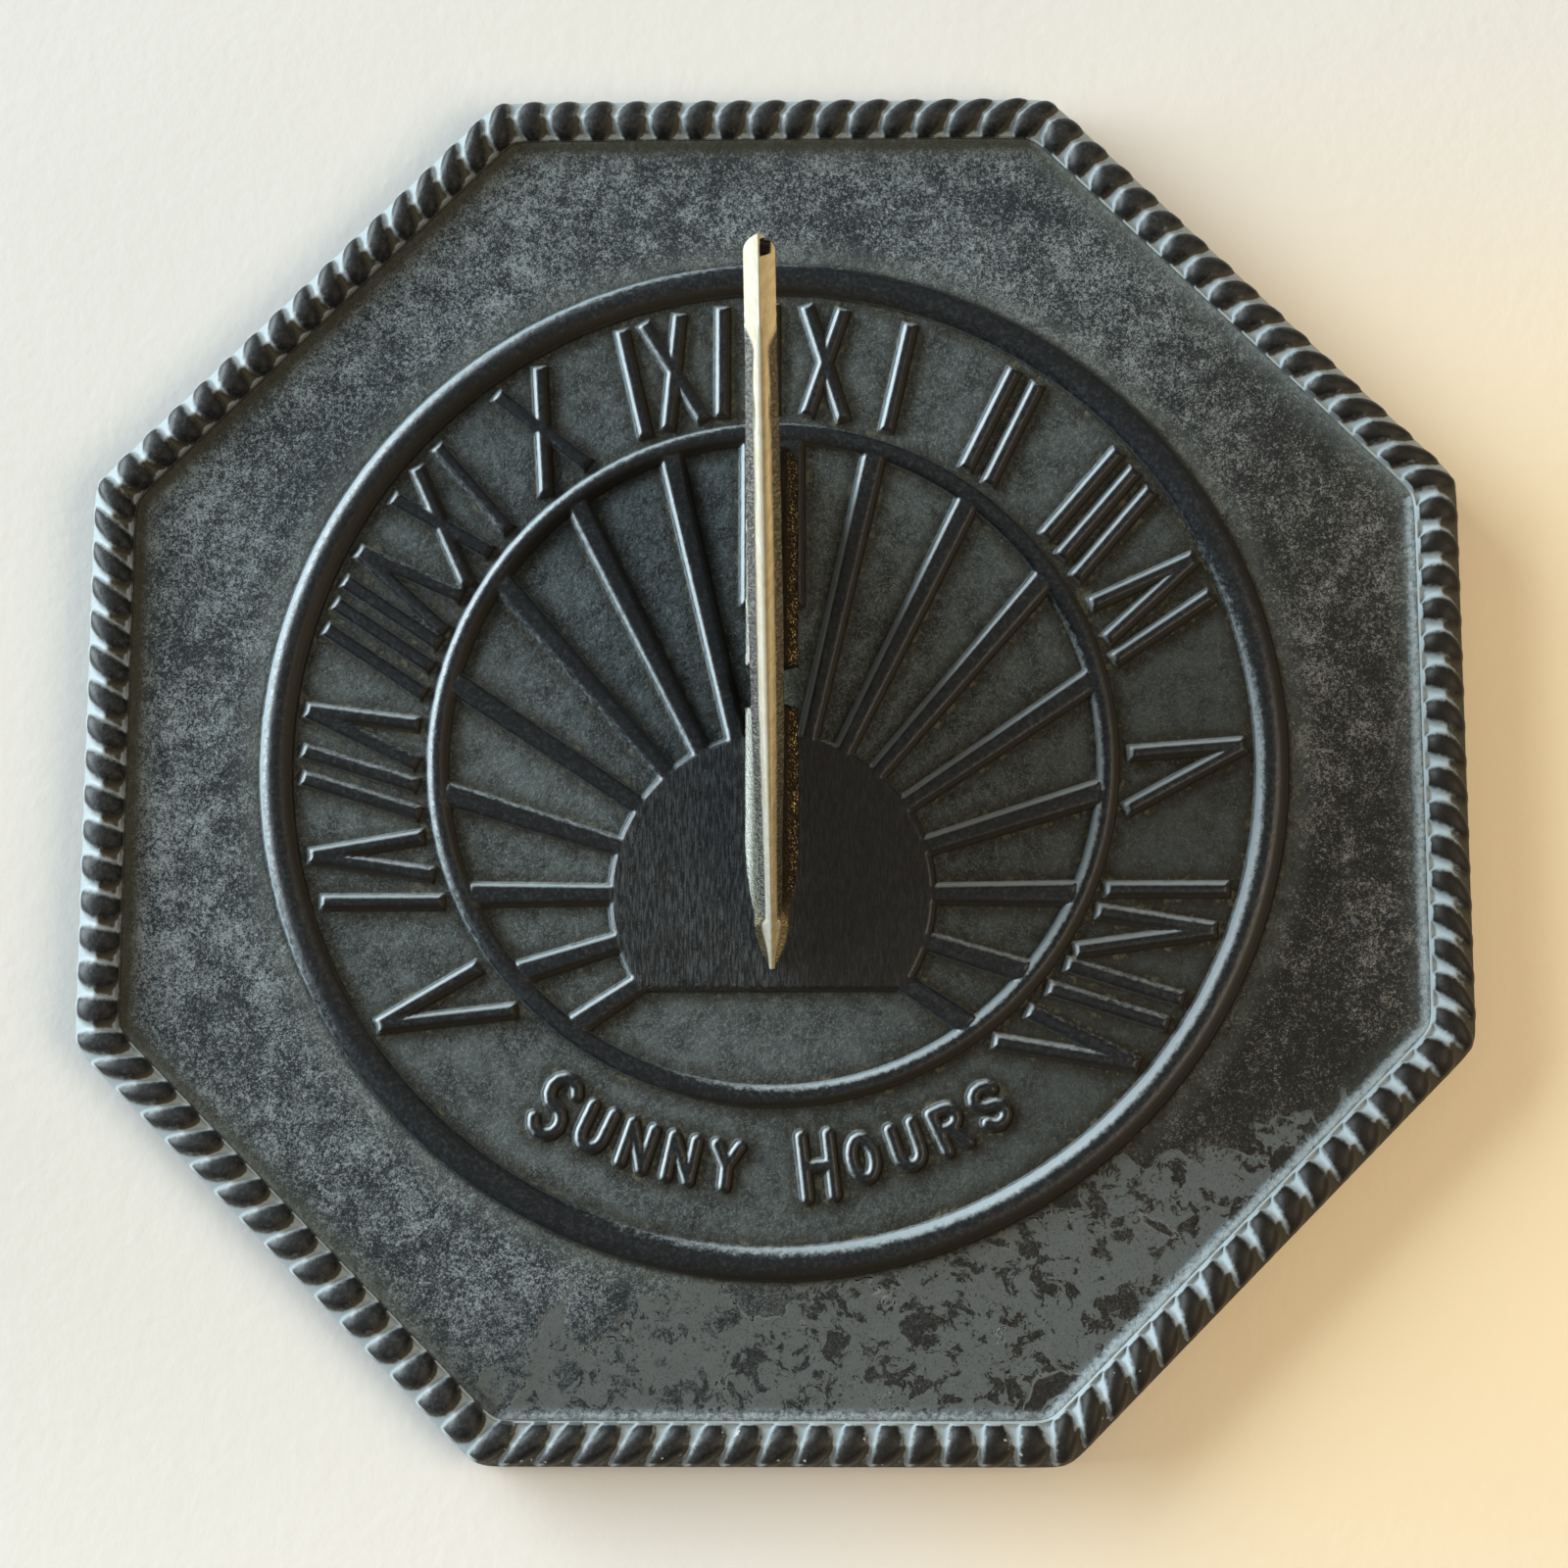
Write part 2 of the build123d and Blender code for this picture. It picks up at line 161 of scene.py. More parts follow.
FINE_SKIRT = 0.8  # how far past a ring its fine rows go
CROWN_WIDTH = 1.6  # from a shape's edge to where its top is level
CROWN_SHARE = 0.1  # of a shape's height
FAR_OUTSIDE = -20.0  # what counts as the distance inside a shape that is nowhere near
SPREAD = 3.0  # how far the work on a shape goes past its ends
STROKE_REACH = 24.0  # from the middle of a numeral's stroke
LETTER_REACH = 20.0  # from the start of a letter's stroke
RAY_OVERLAP = 1.5  # of a ray under the inner ring
SEAT_OVERLAP = 1.0
ON_ROPE = 2.0  # the distances inside a shape given to the rope and to the underside
ON_UNDERSIDE = -6.0
SUN_EDGE = 0.8
RING_EDGE = 0.4

ROPE_INSIDE = ACROSS_FLATS / 2 - ROPE_RADIUS * (1 + cos(ROPE_END))
ROPE_END_HEIGHT = ROPE_RADIUS * sin(ROPE_END)


# ================= small tools =================

def lerp(a, b, t):
    return a + (b - a) * t


def smooth(t):
    t = np.clip(t, 0, 1)
    return t * t * (3 - 2 * t)


def smooth_max(a, b, fillet=FILLET):
    """The larger of two heights, with a fillet where they meet."""
    near = np.maximum(fillet - np.abs(a - b), 0)
    return np.maximum(a, b) + near * near / (4 * fillet)


def value_noise(x, y, size, seed):
    """Smooth noise between -1 and 1, with features of the given size."""
    lattice = np.random.default_rng(seed).uniform(-1, 1, (512, 512))
    u = x / size + 256
    v = y / size + 256
    i = np.floor(u).astype(int)
    j = np.floor(v).astype(int)
    fu = smooth(u - i)
    fv = smooth(v - j)
    i0, i1, j0, j1 = i % 512, (i + 1) % 512, j % 512, (j + 1) % 512
    low = lerp(lattice[i0, j0], lattice[i1, j0], fu)
    high = lerp(lattice[i0, j1], lattice[i1, j1], fu)
    return lerp(low, high, fv)


def make_object(name, vertices, faces, attributes=None):
    """A mesh object from vertices in millimetres, with point attributes."""
    mesh = bpy.data.meshes.new(name)
    mesh.from_pydata((np.asarray(vertices) * MM).tolist(), [], faces)
    mesh.validate()
    mesh.polygons.foreach_set("use_smooth", [True] * len(mesh.polygons))
    for key, values in (attributes or {}).items():
        layer = mesh.attributes.new(key, "FLOAT", "POINT")
        layer.data.foreach_set("value", np.asarray(values, np.float32))
    mesh.update()
    piece = bpy.data.objects.new(name, mesh)
    bpy.context.scene.collection.objects.link(piece)
    return piece


# ================= the relief of the dial plate =================

def hour_angle(hour):
    """Degrees clockwise from noon at which an hour's line leaves the sun's centre."""
    turn = radians(15 * hour)
    return degrees(atan2(HOUR_FACTOR * sin(turn), cos(turn)))


def hour_point(hour, offset, radius):
    """Where a line parallel to an hour line, offset clockwise, meets a circle about the centre."""
    a = radians(hour_angle(hour))
    along = (sin(a), cos(a))
    start = (offset * cos(a), SUN_Y - offset * sin(a))
    b = start[0] * along[0] + start[1] * along[1]
    c = start[0] ** 2 + start[1] ** 2 - radius**2
    reach = -b + sqrt(b * b - c)
    return (start[0] + reach * along[0], start[1] + reach * along[1])


def inside_bar(x, y, start, end, start_width, end_width):
    """How far inside a tapering bar each point is; negative outside."""
    dx, dy = end[0] - start[0], end[1] - start[1]
    length = hypot(dx, dy)
    along = ((x - start[0]) * dx + (y - start[1]) * dy) / length
    across = np.abs((x - start[0]) * dy - (y - start[1]) * dx) / length
    half = lerp(start_width, end_width, np.clip(along / length, 0, 1)) / 2
    qx = across - half
    qy = np.abs(along - length / 2) - length / 2
    outside = np.hypot(np.maximum(qx, 0), np.maximum(qy, 0))
    return -(outside + np.minimum(np.maximum(qx, qy), 0))


def inside_stroke(x, y, start, end, width):
    """The same for a stroke with round ends."""
    dx, dy = end[0] - start[0], end[1] - start[1]
    share = ((x - start[0]) * dx + (y - start[1]) * dy) / (dx * dx + dy * dy)
    share = np.clip(share, 0, 1)
    return width / 2 - np.hypot(x - start[0] - share * dx, y - start[1] - share * dy)


def flank_height(inside, height):
    """Height of a relief shape with soft sloping sides and a slightly crowned top."""
    rise = smooth((inside + FLANK / 3) / FLANK)
    crown = smooth(inside / CROWN_WIDTH)
    return height * ((1 - CROWN_SHARE) * rise + CROWN_SHARE * crown)


def bead_height(radius, ring):
    outer, width, height = ring
    arc_radius = (width * width / 4 + height * height) / (2 * height)
    across = radius - outer + width / 2
    return np.sqrt(np.maximum(arc_radius**2 - across**2, 0)) - (arc_radius - height)


def inside_ring(radius, ring):
    outer, width, height = ring
    return width / 2 - np.abs(radius - outer + width / 2)


def numeral_strokes():
    """Each stroke's hour, offset at the outer end and offset at the inner end."""
    strokes = []
    for hour, (glyphs, offsets) in NUMERALS.items():
        half = LONE_HALF if len(glyphs) == 1 else GROUPED_HALF
        for glyph, offset in zip(glyphs, offsets):
            if glyph == "I":
                strokes.append((hour, offset, offset))
            elif glyph == "V":
                strokes += [(hour, offset, offset + half), (hour, offset, offset - half)]
            else:
                strokes += [(hour, offset - half, offset + half), (hour, offset + half, offset - half)]
    return strokes


def arc(centre, radii, start, end, steps=8):
    """Points along an arc of an ellipse, from one angle in degrees to another."""
    angles = [radians(lerp(start, end, i / steps)) for i in range(steps + 1)]
    return [(centre[0] + radii[0] * cos(a), centre[1] + radii[1] * sin(a)) for a in angles]


def letter_lines(letter):
    """The centre lines of a letter's strokes, in a box of 1 by 1."""
    upper = (0.5, 0.75)
    lower = (0.5, 0.25)
    lobe = (0.5, 0.25)
    lines = {
        "H": [[(0, 0), (0, 1)], [(1, 0), (1, 1)], [(0, 0.5), (1, 0.5)]],
        "N": [[(0, 0), (0, 1), (1, 0), (1, 1)]],
        "O": [arc((0.5, 0.5), (0.5, 0.5), 0, 360, 16)],
        "R": [
            [(0, 0), (0, 1)] + arc(upper, lobe, 90, -90) + [(0, 0.5)],
            [(0.5, 0.5), (1, 0)],
        ],
        "S": [arc(upper, lobe, 20, 270) + arc(lower, lobe, 90, -160)[1:]],
        "U": [[(0, 1)] + arc((0.5, 0.35), (0.5, 0.35), 180, 360) + [(1, 1)]],
        "Y": [[(0, 1), (0.5, 0.5), (1, 1)], [(0.5, 0.5), (0.5, 0)]],
    }
    return lines[letter]


def motto_segments():
    """Every letter stroke as a start and an end point on the plate."""
    segments = []
    for i, letter in enumerate(MOTTO):
        if letter == " ":
            continue
        tall = i == 0 or MOTTO[i - 1] == " "
        width, height = TALL_SIZE if tall else LETTER_SIZE
        a = radians((i - (len(MOTTO) - 1) / 2) * MOTTO_PITCH)

        def place(point):
            px = (point[0] - 0.5) * width
            py = (point[1] - 0.5) * height - MOTTO_RADIUS
            return (px * cos(a) - py * sin(a), px * sin(a) + py * cos(a))

        for line in letter_lines(letter):
            segments += [(place(p), place(q)) for p, q in zip(line, line[1:])]
    return segments


def relief(x, y):
    """Height over the field, and how far inside any raised shape, the sun and a ring each point is."""
    radius = np.hypot(x, y)
    ring_inside = INNER_RING[0] - INNER_RING[1]
    inside_marks = np.full(x.shape, FAR_OUTSIDE)
    inside_letters = np.full(x.shape, FAR_OUTSIDE)

    def stamp(target, nearby, distance, *shape):
        target[nearby] = np.maximum(target[nearby], distance(x[nearby], y[nearby], *shape))

    cells = np.flatnonzero(radius < INNER_RING[0])
    for hour in range(-LAST_RAY_HOUR, LAST_RAY_HOUR + 1):
        if hour:
            a = radians(hour_angle(hour))
            root = ((SUN_RADIUS - SPREAD) * sin(a), SUN_Y + (SUN_RADIUS - SPREAD) * cos(a))
            end = hour_point(hour, 0, ring_inside + RAY_OVERLAP)
            stamp(inside_marks, cells, inside_bar, root, end, *RAY_WIDTHS)
    seat = ((0, SEAT_END_Y), (0, ring_inside + SEAT_OVERLAP), SEAT_WIDTH, SEAT_WIDTH)
    stamp(inside_marks, cells, inside_bar, *seat)

    band = np.flatnonzero((radius > NUMERAL_INNER - SPREAD) & (radius < NUMERAL_OUTER + SPREAD))
    for hour, outer, inner in numeral_strokes():
        start = hour_point(hour, inner, NUMERAL_INNER)
        end = hour_point(hour, outer, NUMERAL_OUTER)
        middle = ((start[0] + end[0]) / 2, (start[1] + end[1]) / 2)
        near = band[np.hypot(x[band] - middle[0], y[band] - middle[1]) < STROKE_REACH]
        stamp(inside_marks, near, inside_bar, start, end, STROKE_WIDTH, STROKE_WIDTH)
    for start, end in motto_segments():
        near = band[np.hypot(x[band] - start[0], y[band] - start[1]) < LETTER_REACH]
        stamp(inside_letters, near, inside_stroke, start, end, LETTER_STROKE)

    inside_sun = np.minimum(SUN_RADIUS - np.hypot(x, y - SUN_Y), y - SUN_Y + SUN_CHORD)
    height = flank_height(np.maximum(inside_marks, inside_sun), RELIEF_HEIGHT)
    height = smooth_max(height, flank_height(inside_letters, LETTER_RELIEF))
    for ring in (OUTER_RING, INNER_RING):
        height = smooth_max(height, bead_height(radius, ring))
    inside = np.maximum(np.maximum(inside_marks, inside_letters), inside_sun)
    on_ring = np.maximum(inside_ring(radius, OUTER_RING), inside_ring(radius, INNER_RING))
    return np.maximum(height, 0), np.maximum(inside, on_ring), inside_sun, on_ring


# ================= the plate's mesh =================

def octagon_point(apothem, turn):
    """A point on a round-cornered octagon; turn counts its sides clockwise from the north one's middle."""
    side = np.floor(turn + 0.5)
    local = np.arctan((turn - side) * 2 * tan(pi / SIDES)) + side * 2 * pi / SIDES
    total = 0
    for k in range(SIDES):
        facing = np.maximum(np.cos(local - 2 * pi * k / SIDES), 1e-9)
        total = total + facing**CORNER_SHARPNESS
    radius = apothem / total ** (1 / CORNER_SHARPNESS)
    return radius * np.sin(local), radius * np.cos(local)


def section_height(across, radius, power):
    """Height of a rounded section, at a place from -1 to 1 across it."""
    return radius * (1 - abs(across) ** power) ** (1 / power)


def rim_rows():
    """Rows of vertices from the underside's edge over the rope: (x, y, z, groove, inner end) each."""
    columns = np.arange(SIDES * STRANDS * ROPE_COLUMNS)
    turn = columns / (STRANDS * ROPE_COLUMNS)
    across_strand = np.abs(2 * ((columns / ROPE_COLUMNS) % 1) - 1)
    nothing = np.zeros(columns.shape)
    half = ACROSS_FLATS / 2
    side_length = 2 * half * tan(pi / SIDES)
    outer_shift = (STRAND_LEAN + STRAND_BOW) / side_length
    rows = []
    for step in range(CORNER_ROWS + 1):
        a = pi / 2 * step / CORNER_ROWS
        x, y = octagon_point(half - RIM_ROUNDING * (1 - sin(a)), turn + outer_shift)
        rows.append((x, y, nothing + RIM_ROUNDING * (1 - cos(a)), nothing, nothing))
    wall = FIELD_Z - RIM_ROUNDING
    for step in range(1, WALL_ROWS):
        x, y = octagon_point(half, turn + outer_shift)
        rows.append((x, y, nothing + RIM_ROUNDING + wall * step / WALL_ROWS, nothing, nothing))
    strand_noise = np.random.default_rng(STRAND_SEED).uniform(-1, 1, SIDES * STRANDS)
    plumpness = PLUMPNESS * strand_noise[columns // ROPE_COLUMNS] - PLUMPNESS
    for step in range(ROPE_ROWS + 1):
        a = (pi - ROPE_END) * step / ROPE_ROWS
        across = cos(a)
        # a strand narrows to both ends, like a grain of rice
        edge = np.minimum(across_strand / lerp(*STRAND_WIDTHS, sin(a)), 1)
        hollow = 1 - (1 - edge**2) ** HOLLOW_POWER
        groove = hollow * smooth((pi - ROPE_END - a) / GROOVE_FADE)
        strand_height = section_height(across, ROPE_RADIUS + plumpness, STRAND_SECTION)
        groove_height = section_height(across, ROPE_RADIUS - STRAND_GROOVE, GROOVE_SECTION)
        if across < 0:
            groove_height = max(groove_height, ROPE_END_HEIGHT)
        height = lerp(strand_height, groove_height, groove)
        if step == ROPE_ROWS:
            height = nothing + ROPE_END_HEIGHT
        outwards = (1 + across) / 2
        shift = (STRAND_LEAN * outwards + STRAND_BOW * (2 * outwards - 1) ** 2) / side_length
        x, y = octagon_point(half - ROPE_RADIUS * (1 - across), turn + shift)
        outer_end = smooth((OUTER_FADE[0] - a) / OUTER_FADE[1])
        inner_end = smooth((a - pi + ROPE_END + INNER_FADE[0]) / INNER_FADE[1])
        rows.append((x, y, FIELD_Z + height, np.maximum(hollow, outer_end), nothing + inner_end))
    return rows


def column_count(radius):
    """A number of mesh columns that keeps them about one grid step apart on a circle."""
    wanted = 2 * pi * radius / COLUMN_STEP
    return min(COLUMN_COUNTS, key=lambda count: abs(count / wanted - 1))


def field_rows():
    """Rows of vertices from the rope's inner edge to the middle, as (x, y) each."""
    rows = []
    ring_edge = OUTER_RING[0] + RING_SKIRT
    inner_shift = STRAND_BOW / (ACROSS_FLATS * tan(pi / SIDES))
    steps = round((ROPE_INSIDE - ring_edge) / GRID)
    for step in range(1, steps):
        share = step / steps
        count = SIDES * STRANDS * ROPE_COLUMNS if share <= MARGIN_START else MARGIN_COLUMNS
        turn = np.arange(count) / count * SIDES + inner_shift * (1 - share)
        x, y = octagon_point(ROPE_INSIDE, turn)
        angle = np.arctan2(x, y)
        radius = lerp(np.hypot(x, y), ring_edge, share)
        rows.append((radius * np.sin(angle), radius * np.cos(angle)))
    radius = ring_edge
    while radius > GRID * 0.7:
        count = column_count(radius)
        angle = np.arange(count) / count * 2 * pi
        rows.append((radius * np.sin(angle), radius * np.cos(angle)))
        fine = any(
            -FINE_SKIRT < outer - radius < width + FINE_SKIRT
            for outer, width, _ in (OUTER_RING, INNER_RING)
        )
        radius -= FINE_GRID if fine else GRID
    return rows


def stitch(first, second, first_count, second_count):
    """Faces between two closed rows, of which the second has as many columns or fewer."""
    i = np.arange(first_count)
    after = (i + 1) % first_count
    if first_count == second_count:
        return np.stack([first + i, second + i, second + after, first + after], 1).tolist()
    apex = np.round((i + 0.5) / first_count * second_count).astype(int) % second_count
    before = np.roll(apex, 1)
    faces = np.stack([first + i, second + apex, first + after], 1).tolist()
    turns = np.flatnonzero(apex != before)
    faces += np.stack([first + turns, second + before[turns], second + apex[turns]], 1).tolist()
    return faces


def cut_screw_hole(points, faces, hole_y):
    """Takes a round hole out of the face, and returns the faces left and the hole's rim, anticlockwise."""
    away = np.hypot(points[:, 0], points[:, 1] - hole_y)
    gone = (away < CLEARANCE_RADIUS + GRID / 2) & (points[:, 2] > FIELD_Z + 1)
    cut = [face for face in faces if any(gone[v] for v in face)]
    kept = [face for face in faces if not any(gone[v] for v in face)]
    edges = {(a, b) for face in cut for a, b in zip(face, face[1:] + face[:1])}
    following = {a: b for a, b in edges if (b, a) not in edges}
    loop = [min(following)]
    while following[loop[-1]] != loop[0]:
        loop.append(following[loop[-1]])
    return kept, loop


def underside(points, faces, rim_count, loops):
    """The counterbores under the screw holes, and the flat underside round them."""
    outline = list(range(rim_count))
    rings = [outline]
    for hole_y, loop in zip(SCREW_YS, loops):
        angle = np.arctan2(points[loop, 1] - hole_y, points[loop, 0])
        upper = loop
        for radius, z in (
            (CLEARANCE_RADIUS, COUNTERBORE_DEPTH),
            (COUNTERBORE_RADIUS, COUNTERBORE_DEPTH),
            (COUNTERBORE_RADIUS, 0.0),
        ):
            ring = np.stack([radius * np.cos(angle), hole_y + radius * np.sin(angle), z + 0 * angle], 1)
            lower = list(range(len(points), len(points) + len(loop)))
            points = np.concatenate([points, ring])
            for a, b, c, d in zip(upper, upper[1:] + upper[:1], lower[1:] + lower[:1], lower):
                faces.append([a, b, c, d])
            upper = lower
        rings.append(upper)
    flat = [i for ring in rings for i in ring]
    for a, b, c in tessellate_polygon([[Vector(points[i]) for i in ring] for ring in rings]):
        face = [flat[a], flat[b], flat[c]]
        p, q, r = points[face]
        if np.cross(q[:2] - p[:2], r[:2] - p[:2]) > 0:
            face.reverse()
        faces.append(face)
    return points, faces


def dial_plate():
    rim = rim_rows()
    field = field_rows()
    rim_count = len(rim[0][0])
    x, y = (np.concatenate([row[k] for row in rim + field] + [np.zeros(1)]) for k in (0, 1))
    on_rim = len(rim) * rim_count
    lift, inside, inside_sun, on_ring = relief(x[on_rim:], y[on_rim:])
    radius = np.hypot(x[on_rim:], y[on_rim:])

    # the fillet from the rope down to the margin
    facing = np.arctan2(x[on_rim:], y[on_rim:])
    facing = facing - np.round(facing / (2 * pi / SIDES)) * (2 * pi / SIDES)
    from_rope = np.maximum(ROPE_INSIDE - radius * np.cos(facing), 0)
    fillet = ROPE_END_HEIGHT * smooth(1 - from_rope / ROPE_FILLET)
    calm = 1 - 0.75 * smooth(inside)
    for k, (size, height) in enumerate(LUMPS):
        lift = lift + calm * height * value_noise(x[on_rim:], y[on_rim:], size, LUMP_SEED + k)
    inside = np.maximum(inside, -from_rope)

    z = np.concatenate([row[2] for row in rim] + [FIELD_Z + np.maximum(lift, fillet)])
    points = np.stack([x, y, z], 1)
    points[:, 2] = np.minimum(points[:, 2], plate_high.z / MM)

    faces = []
    starts = [rim_count * i for i in range(len(rim))]
    counts = [rim_count] * len(rim)
    for row in field:
        starts.append(starts[-1] + counts[-1])
        counts.append(len(row[0]))
    for i in range(len(starts) - 1):
        faces += stitch(starts[i], starts[i + 1], counts[i], counts[i + 1])
    centre = len(points) - 1
    last = np.arange(counts[-1])
    faces += [[starts[-1] + a, centre, starts[-1] + (a + 1) % counts[-1]] for a in last.tolist()]

    loops = []
    for hole_y in SCREW_YS:
        faces, loop = cut_screw_hole(points, faces, hole_y)
        away = points[loop, :2] - (0, hole_y)
        away *= CLEARANCE_RADIUS / np.hypot(away[:, 0], away[:, 1])[:, None]
        points[loop, :2] = away + (0, hole_y)
        loops.append(loop)
    points, faces = underside(points, faces, rim_count, loops)

    extra = len(points) - len(x)

    def whole_plate(of_rim, of_field, of_underside=0.0):
        """One value for each vertex of the plate."""
        return np.concatenate([np.zeros(on_rim) + of_rim, of_field, np.full(extra, of_underside)])

    flat = np.zeros(len(radius))
    in_band = np.maximum(1 - from_rope / ROPE_FILLET, 0)
    fields = {
        "inside": whole_plate(ON_ROPE, inside, ON_UNDERSIDE),
        "margin": whole_plate(1.0, smooth(radius - OUTER_RING[0]), 1.0),
        "sun": whole_plate(0.0, smooth(inside_sun / SUN_EDGE)),
        "ring": whole_plate(0.0, smooth(on_ring / RING_EDGE + 0.5)),
        "rope": whole_plate(1.0, flat),
        "band": whole_plate(np.concatenate([row[4] for row in rim]), in_band),
        "groove": whole_plate(np.concatenate([row[3] for row in rim]), flat),
    }
    used = np.zeros(len(points), bool)
    used[[v for face in faces for v in face]] = True
    renumbered = np.cumsum(used) - 1
    faces = [[int(renumbered[v]) for v in face] for face in faces]
    fields = {key: values[used] for key, values in fields.items()}
    return make_object("dial_plate_casting", points[used], faces, fields)


# ================= the gnomon's mesh =================

ANGLE = radians(STYLE_ANGLE)
RIDGE_LENGTH = (TIP_Y - TOE_Y) / cos(ANGLE)
RIDGE_HALF = 0.14  # the ridge is a narrow flat
ROOF_START = 0.6  # below this depth a side may spread faster than the bevel does
ROOF_SPREAD = 1.5
FILED_DEPTH = 0.95  # how far down the bevels the file went, except near the tip
NOTCH = (1.0, 3.6, 1.5, 1.9)  # start and end from the tip, how far down the right bevel, depth
NOTCH_EDGE = 0.2
NOSE_LENGTH = 1.8
NOSE = ((1.0, 6.4), (0.05, 5.0))  # corners under the tip: how far back and how far down
NECK_DROP = 9.5
SWELL_END = 0.45  # shares of the ridge's length where the style is widest and starts to narrow
TAPER_START = 0.6
TAPER_SHARE = 0.35
NO_LIMIT = 9
CAST_SKIN = ((1.1, 31), (3.5, 32))  # size and seed of the roughness that both sides share
SKIN_HEIGHT = 0.05
SIDE_SEEDS = (41, 43)
FILED_SEED = 33
FILE_EDGE = 0.22
FILE_CROWN = 0.14


def ridge_place(y, z):
    """A point of the side view as its distance along the ridge and its depth below it."""
    return (
        (y - TOE_Y) * cos(ANGLE) + z * sin(ANGLE),
        (y - TOE_Y) * sin(ANGLE) - z * cos(ANGLE),
    )


def back_edge():
    """The hollow back edge from the foot's end to the tip, as distances along and below the ridge."""
    lower = (TIP_Y - TOE_Y - 2) * tan(ANGLE) - NECK_DROP
    foot_end = Vector((FOOT_END_Y, 0.0))
    neck = Vector((TIP_Y - 3, lower))
    middle = Vector(((TIP_Y + FOOT_END_Y) / 2 - BACK_HOLLOW, lower * 0.55))
    points = []
    for i in range(25):
        t = i / 24
        # a quadratic through the three points
        point = foot_end * (1 - t) * (1 - 2 * t) + middle * 4 * t * (1 - t) + neck * t * (2 * t - 1)
        points.append(ridge_place(point.x, point.y))
    nose = (TIP_Y - TOE_Y) * tan(ANGLE)
    points += [ridge_place(TIP_Y - back, nose - below) for back, below in NOSE]
    points.append((RIDGE_LENGTH, 0.0))
    return np.array(points)


def foot_limit(y):
    """Half the foot's width at each place along it."""
    radius = (FOOT_HALF_WIDTH**2 + OGIVE_LENGTH**2) / (2 * FOOT_HALF_WIDTH)
    short = np.maximum(TOE_Y + OGIVE_LENGTH - y, 0)
    ogive = FOOT_HALF_WIDTH - radius + np.sqrt(np.maximum(radius**2 - short**2, 0))
    ogive = ogive + TOE_FULLNESS * np.sin(pi * np.clip((y - TOE_Y) / TOE_LENGTH, 0, 1))
    slope = (FOOT_HALF_WIDTH - TAIL_HALF_WIDTH) / TAIL_CUT
    tail = FOOT_HALF_WIDTH - slope * (y - FOOT_END_Y + TAIL_CUT)
    return np.maximum(np.minimum(ogive, np.minimum(tail, FOOT_HALF_WIDTH)), 0.0)


def half_thickness(along, depth):
    """Half the gnomon's thickness, and how much of it is foot, at places of the side view."""
    y = TOE_Y + along * cos(ANGLE) + depth * sin(ANGLE)
    z = along * sin(ANGLE) - depth * cos(ANGLE)
    at_toe, at_middle, at_tip = STYLE_HALF
    half = lerp(at_toe, at_middle, smooth(along / RIDGE_LENGTH / SWELL_END))
    half = lerp(half, at_tip, smooth((along / RIDGE_LENGTH - TAPER_START) / TAPER_SHARE))
    bevel = lerp(RIDGE_HALF, half, np.clip(depth / STYLE_ROOF, 0, 1))
    across, down = STYLE_CHAMFER
    undercut = across * np.clip((depth - STYLE_DEPTH + down) / down, 0, 1)
    style = (bevel - undercut) * (1 - smooth((depth - STYLE_DEPTH) / 0.7))
    web = np.minimum(WEB_THICKNESS / 2, bevel)
    slope = np.clip((z - FOOT_EDGE) / (FOOT_TOP - FOOT_EDGE), 0, 1)
    foot = lerp(FOOT_HALF_WIDTH, web, slope**0.9)
    gap = smooth((y - PAD_GAP[0]) / 0.6) * smooth((PAD_GAP[1] - y) / 0.6)
    foot = np.minimum(lerp(foot, web, gap), foot_limit(y))
    # near the toe the web is no wider than the foot
    web_there = np.minimum(web, foot_limit(y) + NO_LIMIT * (y > 0))
    total = np.maximum(np.maximum(style, web_there), foot)
    spread = (half - RIDGE_HALF) / STYLE_ROOF * np.maximum(depth, 0)
    total = np.minimum(total, RIDGE_HALF + spread + ROOF_SPREAD * np.maximum(depth - ROOF_START, 0))
    past = np.clip((y - TIP_Y + NOSE_LENGTH) / NOSE_LENGTH, 0, 1)
    nose = at_tip * np.maximum(1 - past**3, 0.02) ** 0.5
    total = np.minimum(total, nose + NO_LIMIT * (past == 0))
    is_foot = (foot > np.maximum(style, web) + 0.02) * 1.0
    return total, is_foot, y, z


